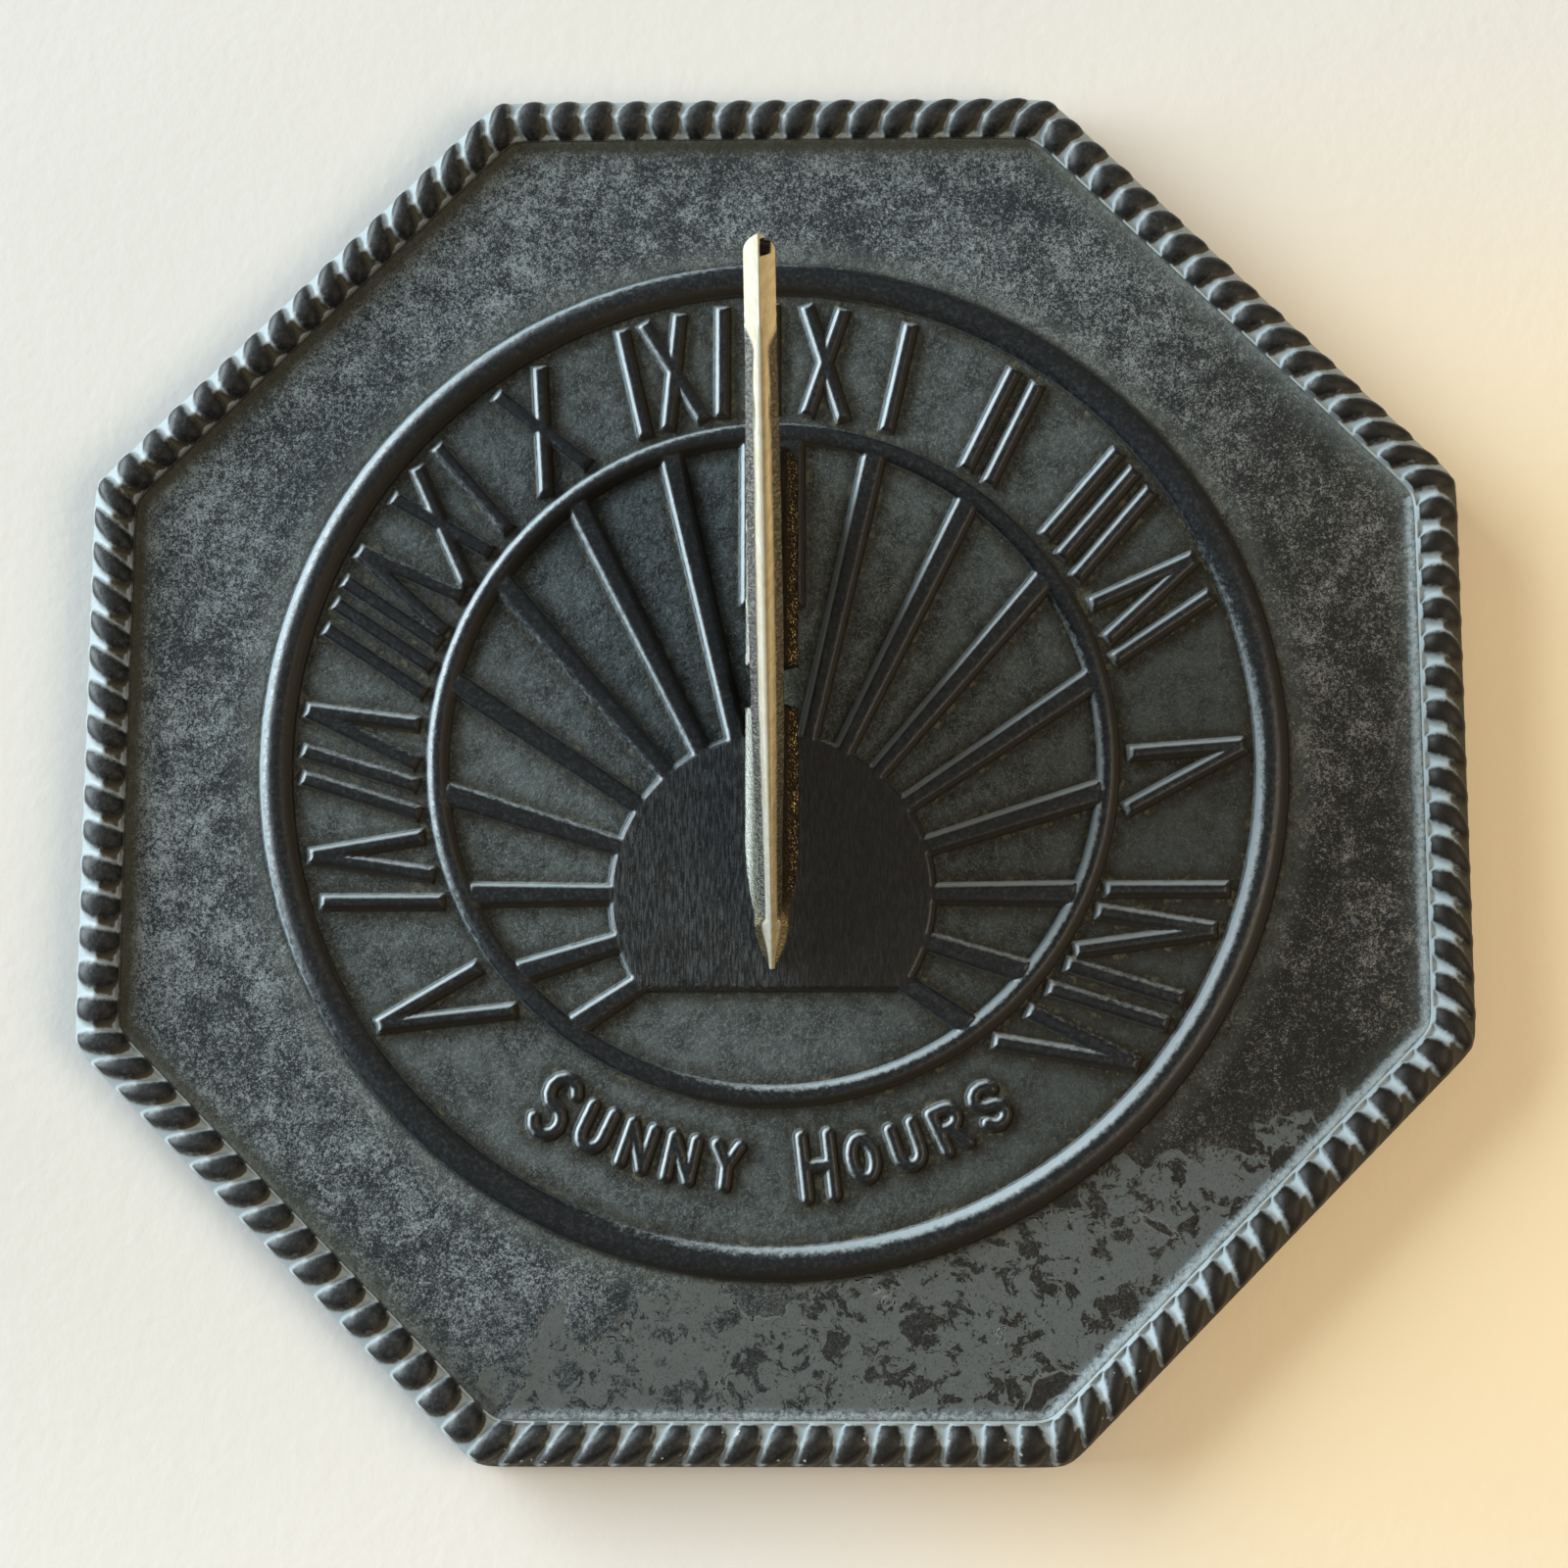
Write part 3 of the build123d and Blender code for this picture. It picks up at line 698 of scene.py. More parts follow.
def gnomon():
    columns = 330
    style_rows = 26
    lower_rows = 62
    along = np.linspace(0.3, RIDGE_LENGTH - 0.02, columns)
    edge = back_edge()
    corner = edge[0]
    reach = np.where(along < corner[0], along * tan(ANGLE), np.interp(along, edge[:, 0], edge[:, 1]))
    near_ridge = np.minimum(6.2, reach * 0.55)
    share = np.concatenate([np.linspace(0, 1, style_rows), np.linspace(1, 2, lower_rows + 1)[1:]])[None, :]
    near_ridge = near_ridge[:, None]
    depth = np.where(share <= 1, share * near_ridge, lerp(near_ridge, reach[:, None], share - 1))
    grid_along = np.repeat(along[:, None], share.shape[1], 1)
    half, is_foot, y, z = half_thickness(grid_along, depth)

    rough = sum(value_noise(y, z, size, seed) * SKIN_HEIGHT for size, seed in CAST_SKIN)
    filed_depth = lerp(FILED_DEPTH, STYLE_ROOF + 0.3, smooth((grid_along - RIDGE_LENGTH + 20) / 6))
    filed_depth = filed_depth + value_noise(grid_along, depth * 0, 5.0, FILED_SEED) * 0.12
    filed_depth = filed_depth * np.clip(0.35 + grid_along / 14, 0, 1)
    filed = 1 - smooth((depth - filed_depth) / FILE_EDGE)
    start, end, down, dent = NOTCH
    from_tip = RIDGE_LENGTH - grid_along
    notch = smooth((from_tip - start) / NOTCH_EDGE) * smooth((end - from_tip) / NOTCH_EDGE)
    notch = notch * smooth((down - depth) / NOTCH_EDGE) * (depth > 0.05)
    sides = []
    for side, seed in zip((-1, 1), SIDE_SEEDS):
        wobble = value_noise(y, z, 6.0, seed) * 0.05 + value_noise(y, z, 0.9, seed + 1) * 0.035
        thickness = half + (wobble + rough) * (1 - 0.9 * filed) * (half > 1)
        if side > 0:
            thickness = thickness - dent * notch
        # the file left the strip by the ridge a little flatter than the cast bevel
        thickness = thickness + FILE_CROWN * np.sin(pi * np.clip(depth / filed_depth, 0, 1)) * (half < 3)
        limit = np.clip(thickness, 0.06, FOOT_HALF_WIDTH)
        sides.append(np.stack([side * limit, y, SEAT_Z + z], 2))

    rows = share.shape[1]
    points = np.concatenate([side.reshape(-1, 3) for side in sides])
    points[:, 1] = np.clip(points[:, 1], TOE_Y, TIP_Y)
    points[:, 2] = np.clip(points[:, 2], SEAT_Z, SEAT_Z + (TIP_Y - TOE_Y) * tan(ANGLE))
    right = columns * rows
    faces = []
    for i in range(columns - 1):
        for j in range(rows - 1):
            a, b, c, d = i * rows + j, (i + 1) * rows + j, (i + 1) * rows + j + 1, i * rows + j + 1
            faces.append([a, b, c, d])
            faces.append([right + d, right + c, right + b, right + a])
    # strips that join the two sides: along the ridge, up the toe, round the nose and along the base
    rim = [i * rows for i in range(columns)]
    rim += [(columns - 1) * rows + j for j in range(1, rows)]
    rim += [i * rows + rows - 1 for i in range(columns - 2, -1, -1)]
    rim += [j for j in range(rows - 2, 0, -1)]
    for a, b in zip(rim, rim[1:] + rim[:1]):
        faces.append([b, a, right + a, right + b])
    fields = {
        "foot": np.tile(is_foot.ravel(), 2),
        "filed": np.tile(filed.ravel(), 2),
        "along": np.tile(grid_along.ravel(), 2),
        "depth": np.tile(depth.ravel(), 2),
        "notch": np.concatenate([0 * notch.ravel(), notch.ravel()]),
    }
    piece = make_object("gnomon_casting", points, faces, fields)
    piece.data.set_sharp_from_angle(angle=radians(38))
    return piece


# ================= materials =================

class Finish:
    """A material's node graph, built from a few kinds of step."""

    def __init__(self, name):
        self.material = bpy.data.materials.new(name)
        self.material.use_nodes = True
        self.nodes = self.material.node_tree.nodes
        self.links = self.material.node_tree.links
        self.surface = next(n for n in self.nodes if n.type == "BSDF_PRINCIPLED")
        self.place = self.nodes.new("ShaderNodeTexCoord").outputs["Object"]

    def feed(self, socket, value):
        if isinstance(value, bpy.types.NodeSocket):
            self.links.new(value, socket)
        elif isinstance(value, tuple) and len(value) == 3 and socket.type == "RGBA":
            socket.default_value = (*value, 1)
        else:
            socket.default_value = value

    def math(self, operation, a, b=0.0):
        node = self.nodes.new("ShaderNodeMath")
        node.operation = operation
        self.feed(node.inputs[0], a)
        self.feed(node.inputs[1], b)
        return node.outputs[0]

    def product(self, *values):
        return reduce(lambda a, b: self.math("MULTIPLY", a, b), values)

    def plus(self, *values):
        return reduce(lambda a, b: self.math("ADD", a, b), values)

    def flip(self, value):
        return self.math("SUBTRACT", 1.0, value)

    def ramp(self, value, low, high):
        """0 where value is at low and 1 where it is at high, smoothly."""
        node = self.nodes.new("ShaderNodeMapRange")
        node.interpolation_type = "SMOOTHSTEP"
        self.feed(node.inputs["Value"], value)
        flipped = low > high
        self.feed(node.inputs["From Min"], min(low, high))
        self.feed(node.inputs["From Max"], max(low, high))
        self.feed(node.inputs["To Min"], 1.0 if flipped else 0.0)
        self.feed(node.inputs["To Max"], 0.0 if flipped else 1.0)
        return node.outputs["Result"]

    def mix(self, share, a, b):
        node = self.nodes.new("ShaderNodeMix")
        node.data_type = "RGBA"
        self.feed(node.inputs[0], share)
        self.feed(node.inputs[6], a)
        self.feed(node.inputs[7], b)
        return node.outputs[2]

    def field(self, name):
        node = self.nodes.new("ShaderNodeAttribute")
        node.attribute_name = name
        return node.outputs["Fac"]

    def facing(self, direction):
        """How far the surface leans towards a horizontal direction: its slope's sine."""
        geometry = self.nodes.new("ShaderNodeNewGeometry")
        node = self.nodes.new("ShaderNodeVectorMath")
        node.operation = "DOT_PRODUCT"
        self.feed(node.inputs[0], geometry.outputs["Normal"])
        node.inputs[1].default_value = direction
        return node.outputs["Value"]

    def axis(self, letter):
        node = self.nodes.new("ShaderNodeSeparateXYZ")
        self.feed(node.inputs[0], self.place)
        return node.outputs[letter]

    def noise(self, size, detail=3.0, roughness=0.55, seed=0.0, stretch=(1, 1, 1), turn=(0, 0, 0), warp=0.0):
        """Noise with features of the given size in millimetres."""
        mapping = self.nodes.new("ShaderNodeMapping")
        self.feed(mapping.inputs["Vector"], self.place)
        mapping.inputs["Rotation"].default_value = turn
        mapping.inputs["Scale"].default_value = stretch
        node = self.nodes.new("ShaderNodeTexNoise")
        node.noise_dimensions = "4D"
        self.feed(node.inputs["Vector"], mapping.outputs[0])
        self.feed(node.inputs["W"], seed)
        self.feed(node.inputs["Scale"], 1 / (size * MM))
        self.feed(node.inputs["Detail"], detail)
        self.feed(node.inputs["Roughness"], roughness)
        self.feed(node.inputs["Distortion"], warp)
        return node.outputs[0]

    def bump(self, height, depth, below=None):
        """A bump of the given depth in millimetres, over another one if there is one."""
        node = self.nodes.new("ShaderNodeBump")
        self.feed(node.inputs["Height"], height)
        self.feed(node.inputs["Distance"], depth * MM)
        if below is not None:
            self.feed(node.inputs["Normal"], below)
        return node.outputs[0]

    def finish(self, colour, roughness, metallic, normal, index=1.5):
        self.feed(self.surface.inputs["Base Color"], colour)
        self.feed(self.surface.inputs["Roughness"], roughness)
        self.feed(self.surface.inputs["Metallic"], metallic)
        self.feed(self.surface.inputs["IOR"], index)
        self.feed(self.surface.inputs["Normal"], normal)
        return self.material


class Iron:
    """Linear colours of the casting. A pair holds the two ends of a mix."""

    # Where a pair is mixed by the east side, its second colour is that side's painted shade
    DARK = ((0.014, 0.021, 0.026), (0.015, 0.013, 0.010))
    # pale specks of grain with painted glints
    GRAIN_SPECKS_AND_GLINTS = ((0.330, 0.385, 0.405), (0.270, 0.265, 0.235))
    CELL = ((0.022, 0.028, 0.029), (0.085, 0.106, 0.108))
    CELL_GRIT = (0.235, 0.272, 0.275)
    # painted shade of the cell floors to the east
    CELL_EAST_SHADE = (0.024, 0.021, 0.013)
    GROUND = ((0.016, 0.019, 0.022), (0.017, 0.013, 0.009))
    PATCH = ((0.080, 0.089, 0.089), (0.118, 0.128, 0.127))
    PATCH_EDGE = (0.230, 0.245, 0.240)
    DIRT = (0.022, 0.018, 0.009)
    RESIDUE = (0.17, 0.17, 0.115)
    BLOOM = (0.125, 0.142, 0.130)
    # dirt and painted shade on the band at the rope's foot
    OLIVE = (0.050, 0.048, 0.030)
    SATIN = ((0.006, 0.008, 0.010), (0.026, 0.031, 0.036))
    SATIN_FLAKES = (0.110, 0.122, 0.130)
    # painted highlight on slopes facing the window, painted shade on slopes facing away
    LIT_SHOULDER = (0.330, 0.380, 0.400)
    SHADED_SLOPE = (0.022, 0.018, 0.012)
    # painted light on the band at the rope's foot
    BAND_TOWARD_WINDOW = (0.190, 0.220, 0.210)
    LIT_BAND = (0.370, 0.420, 0.435)
    DISC = ((0.005, 0.006, 0.007), (0.070, 0.079, 0.085))
    DISC_FLAKES = (0.190, 0.205, 0.210)
    # painted shade east of the gnomon
    DISC_EAST_SHADE = (0.009, 0.007, 0.005)
    STRAND = ((0.005, 0.006, 0.007), (0.028, 0.031, 0.032))
    STRAND_FLAKES = (0.130, 0.142, 0.145)
    # painted shade of the east strands, then dirt in painted shade and painted light for the hollows
    STRAND_EAST_SHADE = (0.012, 0.008, 0.004)
    HOLLOW_DIRT_IN_SHADE = (0.055, 0.050, 0.032)
    LIT_HOLLOW = (0.350, 0.400, 0.415)
    RUST = (0.100, 0.036, 0.014)
    CHIP = (0.50, 0.50, 0.47)


def cast_iron():
    f = Finish("cast_iron_dark")
    inside, margin, sun, ring = (f.field(name) for name in ("inside", "margin", "sun", "ring"))
    rope, groove, band = (f.field(name) for name in ("rope", "groove", "band"))
    x, y = f.axis("X"), f.axis("Y")

    top = f.ramp(inside, -0.15, 0.45)
    floor = f.flip(top)
    off_rope = f.flip(rope)
    open_margin = f.product(margin, off_rope, floor)
    # painted shade: the east side, away from the window, is browner and darker
    painted_shade_east = f.ramp(f.plus(x, f.product(y, -0.4)), -0.02, 0.12)

    # speckled skin of the sand casting; its pale specks are grain with painted glints, bluish on the west
    # and browner in the painted shade to the east
    grain = f.noise(0.65, 2.5, 0.60, 1.0)
    fine = f.noise(0.30, 3.0, 0.75, 2.0)
    cloud = f.noise(20.0, 3.0, 0.5, 3.0)
    blotch = f.noise(4.0, 4.0, 0.6, 4.0)
    uneven = f.plus(f.product(f.plus(cloud, -0.5), 0.16), f.product(f.plus(blotch, -0.5), 0.26))
    grit = f.plus(f.product(fine, 0.65), f.product(grain, 0.35))
    specks_and_glints = f.ramp(f.plus(grit, uneven, f.product(painted_shade_east, -0.04)), 0.44, 0.64)
    skin = f.mix(specks_and_glints, f.mix(painted_shade_east, *Iron.DARK), f.mix(painted_shade_east, *Iron.GRAIN_SPECKS_AND_GLINTS))
    cell = f.mix(f.ramp(f.plus(blotch, f.product(cloud, 0.4)), 0.50, 0.86), *Iron.CELL)
    cell = f.mix(f.product(f.ramp(grit, 0.46, 0.62), 0.62), cell, Iron.CELL_GRIT)
    # painted shade: cell floors browner to the east
    cell = f.mix(f.product(painted_shade_east, 0.70), cell, Iron.CELL_EAST_SHADE)
    colour = f.mix(margin, cell, skin)

    # worn flat patches low on the margin, with pits in them
    low = f.ramp(f.plus(y, f.product(x, -0.30)), -0.078, -0.106)
    worn = f.plus(f.noise(13.0, 4.0, 0.55, 7.0, warp=0.5), f.product(low, 0.315))
    pits = f.ramp(f.noise(4.0, 5.0, 0.72, 8.0, warp=0.6), 0.525, 0.550)
    off_band = f.ramp(band, 0.6, 0.3)
    patch = f.product(f.ramp(worn, 0.69, 0.705), f.flip(pits), open_margin, off_band)
    patch = f.product(patch, f.ramp(grit, 0.36, 0.42))
    patch_edge = f.product(f.ramp(worn, 0.675, 0.69), f.ramp(worn, 0.712, 0.70), open_margin, off_band, low)
    # bare ground low on the margin, browner in the painted shade to the east
    colour = f.mix(f.product(low, open_margin, 0.75), colour, f.mix(painted_shade_east, *Iron.GROUND))
    colour = f.mix(patch, colour, f.mix(f.ramp(fine, 0.3, 0.7), *Iron.PATCH))
    colour = f.mix(f.product(patch_edge, 0.6), colour, Iron.PATCH_EDGE)

    # dirt along the foot of every raised shape in the ring, pale residue, and bloom on the margin
    away = f.product(inside, -1.0)
    breakup = f.noise(2.4, 4.0, 0.7, 5.0)
    # dirt, heavier to the east where the shade is painted
    dirt_and_east_shade = f.plus(0.70, f.product(painted_shade_east, 0.30))
    broken = f.ramp(breakup, 0.25, 0.55)
    dirt = f.product(f.ramp(away, 3.4, 0.1), broken, floor, dirt_and_east_shade, f.flip(margin))
    colour = f.mix(dirt, colour, Iron.DIRT)
    residue = f.product(f.ramp(away, 1.5, 0.5), f.ramp(away, -0.1, 0.35), f.ramp(breakup, 0.52, 0.66))
    colour = f.mix(f.product(residue, floor, 0.6), colour, Iron.RESIDUE)
    bloom = f.product(f.ramp(away, 6.5, 0.5), f.ramp(breakup, 0.20, 0.60), open_margin, f.flip(low))
    colour = f.mix(f.product(bloom, 0.55), colour, Iron.BLOOM)
    # dirt and painted shade: the band at the rope's foot is olive on the northwest, where it faces away from
    # the window
    band_shade_northwest = f.ramp(f.plus(x, f.product(y, -1.0)), 0.02, -0.08)
    colour = f.mix(f.product(f.ramp(band, 0.05, 0.55), band_shade_northwest, 0.8), colour, Iron.OLIVE)

    # slopes: painted highlight on the side that faces the window, painted shade on the side away from it
    window_facing = f.facing((-0.80, 0.60, 0.0))
    frayed = f.product(f.plus(f.noise(0.9, 4.0, 0.75, 12.0), -0.5), 0.7)
    west = f.plus(window_facing, f.product(y, -1.0), -0.19)
    lit_facing = f.plus(f.product(window_facing, f.flip(ring)), f.product(west, ring))
    painted_lit_side = f.ramp(f.plus(lit_facing, frayed), 0.08, 0.42)
    frayed_window_facing = f.plus(window_facing, frayed)
    toward_window = f.ramp(frayed_window_facing, -0.25, 0.20)
    away_from_window = f.ramp(window_facing, -0.10, -0.45)
    near_edge = f.plus(
        f.product(ring, f.ramp(inside, 3.0, 1.4)),
        f.product(f.flip(ring), f.ramp(inside, 1.15, 0.60)),
    )
    shoulder = f.product(f.ramp(inside, -0.40, 0.10), near_edge, off_rope)
    slope = f.product(f.ramp(inside, -0.45, 0.0), near_edge, off_rope)

    # tops of the relief
    satin = f.mix(f.ramp(grain, 0.45, 0.75), *Iron.SATIN)
    satin = f.mix(f.ramp(fine, 0.64, 0.72), satin, Iron.SATIN_FLAKES)
    colour = f.mix(f.product(top, off_rope), colour, satin)
    # painted highlight on shoulders that face the window
    colour = f.mix(f.product(shoulder, painted_lit_side), colour, Iron.LIT_SHOULDER)
    # painted shade on slopes that face away from the window
    colour = f.mix(f.product(slope, away_from_window, 0.85), colour, Iron.SHADED_SLOPE)
    # painted light on the band at the rope's foot where it faces the window
    frayed_band = f.plus(band, frayed)
    colour = f.mix(f.product(f.ramp(frayed_band, 0.35, 0.95), toward_window, 0.7), colour, Iron.BAND_TOWARD_WINDOW)
    colour = f.mix(f.product(f.ramp(frayed_band, 0.20, 0.75), painted_lit_side), colour, Iron.LIT_BAND)
    brushed = f.noise(0.32, 3.0, 0.75, 6.0, stretch=(1.0, 0.12, 1.0))
    disc = f.mix(f.ramp(brushed, 0.40, 0.70), *Iron.DISC)
    disc = f.mix(f.ramp(f.noise(0.4, 2.0, 0.6, 13.0), 0.63, 0.72), disc, Iron.DISC_FLAKES)
    # painted shade: the disc is darker and browner east of the gnomon
    disc = f.mix(f.product(f.ramp(x, -0.004, 0.010), 0.75), disc, Iron.DISC_EAST_SHADE)
    colour = f.mix(sun, colour, disc)

    # the rope: dark strands; the hollows between them are painted pale where they face the window, and dark
    # olive, dirt in painted shade, where they face away
    strand = f.mix(f.ramp(grain, 0.45, 0.72), *Iron.STRAND)
    strand = f.mix(f.ramp(fine, 0.65, 0.72), strand, Iron.STRAND_FLAKES)
    # painted shade: strands browner to the east
    strand = f.mix(f.product(painted_shade_east, 0.8), strand, Iron.STRAND_EAST_SHADE)
    hollow = f.ramp(f.plus(groove, frayed), 0.25, 0.75)
    window_reaches = f.ramp(frayed_window_facing, -0.50, -0.05)
    strand = f.mix(f.product(hollow, f.flip(window_reaches), 0.8), strand, Iron.HOLLOW_DIRT_IN_SHADE)
    strand = f.mix(f.product(hollow, window_reaches), strand, Iron.LIT_HOLLOW)
    # painted light: the band at the rope's inner end is pale to the southeast, where it faces the window
    band_lit_southeast = f.ramp(f.plus(f.product(x, 0.8), f.product(y, -0.6)), 0.02, 0.08)
    inner_end = f.ramp(f.plus(band, f.product(frayed, 1.5)), 0.35, 0.85)
    strand = f.mix(f.product(inner_end, band_lit_southeast), strand, Iron.LIT_HOLLOW)
    colour = f.mix(rope, colour, strand)

    # rust and pale chips
    rust = f.ramp(f.noise(3.0, 5.0, 0.7, 9.0), 0.70, 0.76)
    colour = f.mix(f.product(rust, floor, 0.8), colour, Iron.RUST)
    chip_place = f.product(f.ramp(y, -0.095, -0.120), rope)
    chips = f.product(f.ramp(f.noise(1.8, 2.0, 0.5, 10.0), 0.70, 0.73), chip_place)
    colour = f.mix(chips, colour, Iron.CHIP)

    roughness = f.plus(
        0.32,
        f.product(floor, 0.26),
        f.product(f.plus(grain, -0.5), 0.30),
        f.product(f.math("MAXIMUM", dirt, patch), 0.12),
        f.product(rope, 0.18),
        f.product(slope, away_from_window, 0.25),
    )
    calm = f.flip(f.math("MAXIMUM", patch, f.product(sun, 0.9)))
    rough_floor = f.plus(0.12, f.product(floor, 0.88))
    hammered = f.bump(f.product(f.noise(3.0, 2.0, 0.5, 14.0), floor, calm), 0.30)
    lumps = f.bump(f.product(f.noise(1.2, 3.0, 0.6, 11.0), calm, rough_floor), 0.85, hammered)
    grains = f.bump(f.product(fine, calm, rough_floor), 0.40, lumps)
    edges = f.bump(patch, 0.15, grains)
    strokes = f.bump(f.product(brushed, sun), 0.03, edges)
    # floors, slopes facing away from the window and the rope's east side shine less than the satin tops
    index = f.plus(
        1.55,
        f.product(f.math("MAXIMUM", floor, away_from_window), -0.25),
        f.product(rope, painted_shade_east, f.flip(away_from_window), -0.17),
    )
    return f.finish(colour, roughness, 0.0, strokes, index)


class Brass:
    """Linear colours of the gnomon, as Iron's are."""

    # the west colours are painted window light and reflection, the east colours painted shade
    FILED_WINDOW_REFLECTION = ((1.00, 0.97, 0.84), (0.93, 0.86, 0.64))
    FILED_EAST_SHADE = ((0.62, 0.49, 0.26), (0.48, 0.37, 0.19))
    SKIN_WEST_REFLECTION = ((0.13, 0.125, 0.12), (0.37, 0.36, 0.33))
    OLIVE = ((0.085, 0.070, 0.045), (0.24, 0.20, 0.13))
    TARNISH = (0.10, 0.085, 0.06)
    # painted shade under the style
    SHADE_UNDER_STYLE = (0.030, 0.024, 0.015)
    # gilt specks with painted glints on a ground of painted shade
    GILT_GLINTS_IN_SHADE = ((0.035, 0.026, 0.016), (1.00, 0.68, 0.30))
    GREENISH = ((0.04, 0.04, 0.03), (0.13, 0.13, 0.10))
    # painted reflection of the window on the foot's west edge
    FOOT_EDGE_REFLECTION = (0.30, 0.30, 0.26)
    PALE_TOE = (0.32, 0.27, 0.15)
    GILT_TOE = (0.46, 0.36, 0.18)
    # painted shade in the notch
    NOTCH = (0.020, 0.010, 0.010)


def cast_brass():
    f = Finish("brass_weathered")
    foot, filed, depth = (f.field(name) for name in ("foot", "filed", "depth"))
    cast = f.flip(filed)
    along_style = (-ANGLE, 0, 0)
    scratches = f.noise(0.35, 3.0, 0.6, 1.0, stretch=(1.0, 0.03, 1.0), turn=along_style)
    long_marks = f.noise(1.2, 2.0, 0.5, 2.0, stretch=(1.0, 0.04, 1.0), turn=along_style)
    grain = f.noise(0.6, 4.0, 0.65, 3.0)
    tarnish = f.noise(6.0, 4.0, 0.6, 4.0)
    east = f.ramp(f.axis("X"), -0.0002, 0.0002)

    # the filed strips by the ridge, and the cast skin below them, painted with the window's reflection on
    # the west and in painted shade on the east
    marked = f.ramp(long_marks, 0.35, 0.7)
    filed_lit_and_shaded = f.mix(east, f.mix(marked, *Brass.FILED_WINDOW_REFLECTION), f.mix(marked, *Brass.FILED_EAST_SHADE))
    skin_west_reflection = f.mix(f.ramp(grain, 0.36, 0.66), *Brass.SKIN_WEST_REFLECTION)
    skin_east_shade = f.mix(f.ramp(grain, 0.40, 0.70), *Brass.OLIVE)
    colour = f.mix(filed, f.mix(east, skin_west_reflection, skin_east_shade), filed_lit_and_shaded)
    colour = f.mix(f.product(f.ramp(tarnish, 0.5, 0.68), cast, 0.5), colour, Brass.TARNISH)
    # painted shade on the sides under the style's bevels
    under_style_shade = f.product(f.ramp(depth, STYLE_ROOF - 0.1, STYLE_ROOF + 0.8), f.flip(foot))
    colour = f.mix(f.product(under_style_shade, 0.85), colour, Brass.SHADE_UNDER_STYLE)

    # the foot: gilt specks with painted glints on a ground of painted shade to the east, a painted
    # reflection of the window along the west edge, both paler at the toe
    glint_specks = f.ramp(f.noise(0.38, 3.0, 0.7, 6.0), 0.54, 0.66)
    outer = f.ramp(f.math("ABSOLUTE", f.axis("X")), 0.0024, 0.0042)
    gilt_and_glints = f.mix(f.product(glint_specks, outer), *Brass.GILT_GLINTS_IN_SHADE)
    greenish = f.mix(f.ramp(grain, 0.35, 0.65), *Brass.GREENISH)
    west_foot_with_reflection = f.mix(f.product(outer, outer), greenish, Brass.FOOT_EDGE_REFLECTION)
    toe = f.product(f.ramp(f.field("along"), 14.0, 5.0), 0.7)
    west_foot_with_reflection = f.mix(toe, west_foot_with_reflection, Brass.PALE_TOE)
    gilt_and_glints = f.mix(toe, gilt_and_glints, Brass.GILT_TOE)
    colour = f.mix(f.product(foot, cast), colour, f.mix(east, west_foot_with_reflection, gilt_and_glints))
    # painted shade: the notch is near black
    shaded_notch = f.ramp(f.field("notch"), 0.0, 0.12)
    colour = f.mix(shaded_notch, colour, Brass.NOTCH)

    roughness = f.plus(0.22, f.product(cast, 0.22), f.product(f.math("SUBTRACT", scratches, 0.5), 0.25))
    rough_skin = f.bump(f.product(grain, f.flip(f.product(filed, 0.95))), 0.30)
    filing = f.bump(f.product(scratches, f.plus(0.3, filed)), 0.03, rough_skin)
    metallic = f.flip(f.product(f.math("MAXIMUM", filed, shaded_notch), 0.45))
    return f.finish(colour, roughness, metallic, filing)


def fastener_steel(name, tint, seed):
    f = Finish(name)
    wear = f.noise(1.6, 4.0, 0.6, seed)
    turned = f.noise(0.25, 2.0, 0.5, seed + 1, stretch=(1, 1, 0.05))
    colour = f.mix(f.ramp(wear, 0.35, 0.7), tint, tuple(0.45 * c for c in tint))
    rust = f.ramp(f.noise(1.1, 4.0, 0.7, seed + 2), 0.62, 0.72)
    colour = f.mix(f.product(rust, 0.6), colour, (0.16, 0.075, 0.035))
    roughness = f.plus(0.28, f.product(wear, 0.25))
    roughness = f.plus(roughness, f.product(rust, 0.3))
    return f.finish(colour, roughness, 0.95, f.bump(turned, 0.02, f.bump(wear, 0.04)))


def paper_floor():
    f = Finish("floor_paper")
    fibre = f.noise(3.0, 4.0, 0.6, 1.0)
    cloud = f.noise(40.0, 2.0, 0.5, 2.0)
    colour = f.mix(cloud, (0.79, 0.765, 0.725), (0.83, 0.805, 0.765))
    x = f.axis("X")
    # painted shadow: a tan zone on the paper east of the plate
    beside = f.ramp(f.math("ABSOLUTE", f.plus(f.axis("Y"), 0.045)), 0.20, 0.06)
    painted_tan_shadow = f.product(f.ramp(x, -0.02, 0.10), f.ramp(x, 0.30, 0.16), beside)
    # painted light: the paper is lighter towards the bottom
    colour = f.mix(f.ramp(f.axis("Y"), -0.06, -0.20), colour, (0.93, 0.90, 0.86))
    colour = f.mix(painted_tan_shadow, colour, (1.00, 0.82, 0.55))
    return f.finish(colour, 0.9, 0.0, f.bump(fibre, 0.10), 1.3)


# ================= the pieces =================

plate = dial_plate()
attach(plate, "root")
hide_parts("dial_plate")
plate.data.materials.append(cast_iron())

blade = gnomon()
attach(blade, "root")
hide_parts("gnomon")
blade.data.materials.append(cast_brass())

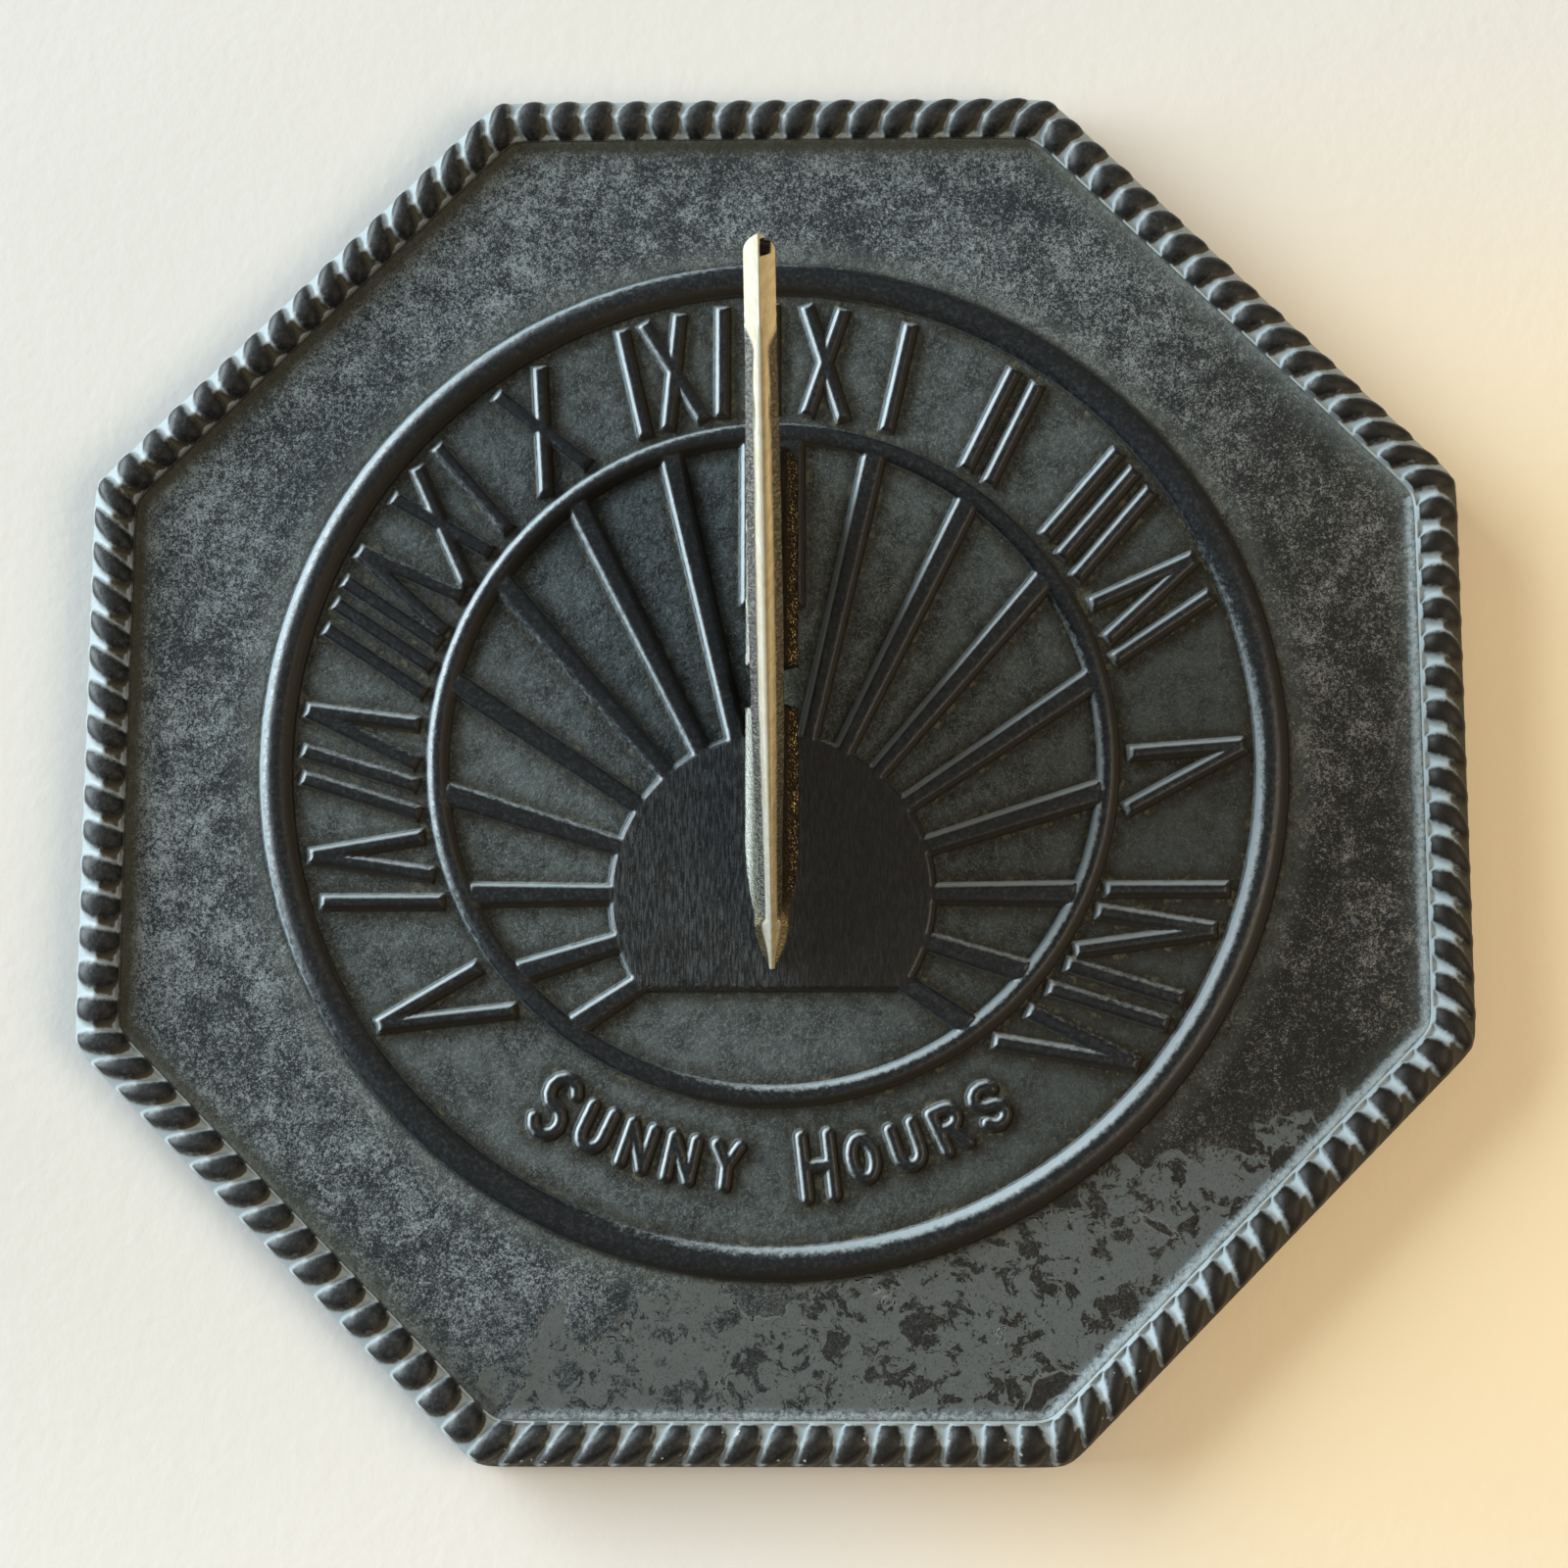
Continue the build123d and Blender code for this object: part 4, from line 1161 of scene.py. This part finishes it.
for node, finish in (
    ("gnomon_screws", fastener_steel("steel_screws", (0.62, 0.60, 0.56), 1.0)),
    ("screw_washers", fastener_steel("steel_washers", (0.55, 0.55, 0.54), 7.0)),
):
    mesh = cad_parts[node].data
    mesh.materials.clear()
    mesh.materials.append(finish)

# ================= floor, lights and camera =================

FLOOR_SIZE = 6.0
bpy.ops.mesh.primitive_plane_add(size=FLOOR_SIZE, location=(0, 0, 0))
floor = bpy.context.object
floor.name = "floor"
floor.data.materials.append(paper_floor())


def area_light(name, place, aim, size, watts, colour):
    data = bpy.data.lights.new(name, "AREA")
    data.shape = "RECTANGLE"
    data.size, data.size_y = size
    data.energy = watts
    data.color = colour
    lamp = bpy.data.objects.new(name, data)
    lamp.location = place
    lamp.rotation_euler = (Vector(aim) - Vector(place)).to_track_quat("-Z", "Y").to_euler()
    bpy.context.scene.collection.objects.link(lamp)


area_light("window", (-2.20, 1.00, 0.75), (0, 0, 0), (3.0, 1.1), 150, (0.80, 0.93, 1.0))
area_light("warm_side", (0.95, -0.25, 0.90), (0.1, 0, 0), (0.9, 0.7), 10, (1.0, 0.84, 0.62))

world = bpy.data.worlds.new("soft_room")
world.use_nodes = True
background = world.node_tree.nodes["Background"].inputs
background["Color"].default_value = (1.0, 0.96, 0.90, 1)
background["Strength"].default_value = 0.21
bpy.context.scene.world = world

CAMERA_PLACE = (0.0126, -0.0823, 0.5250)
CAMERA_RIGHT = Vector((0.99980, -0.00011, -0.02016))
CAMERA_UP = Vector((0.00310, 0.98895, 0.14822))
CAMERA_ANGLE = 30.686

camera = bpy.data.objects.new("camera", bpy.data.cameras.new("camera"))
bpy.context.scene.collection.objects.link(camera)
turned = Matrix((CAMERA_RIGHT, CAMERA_UP, CAMERA_RIGHT.cross(CAMERA_UP))).transposed().to_4x4()
camera.matrix_world = Matrix.Translation(CAMERA_PLACE) @ turned
camera.data.angle = radians(CAMERA_ANGLE)
camera.data.clip_start = 0.01
bpy.context.scene.camera = camera
bpy.context.scene.view_settings.view_transform = "Standard"
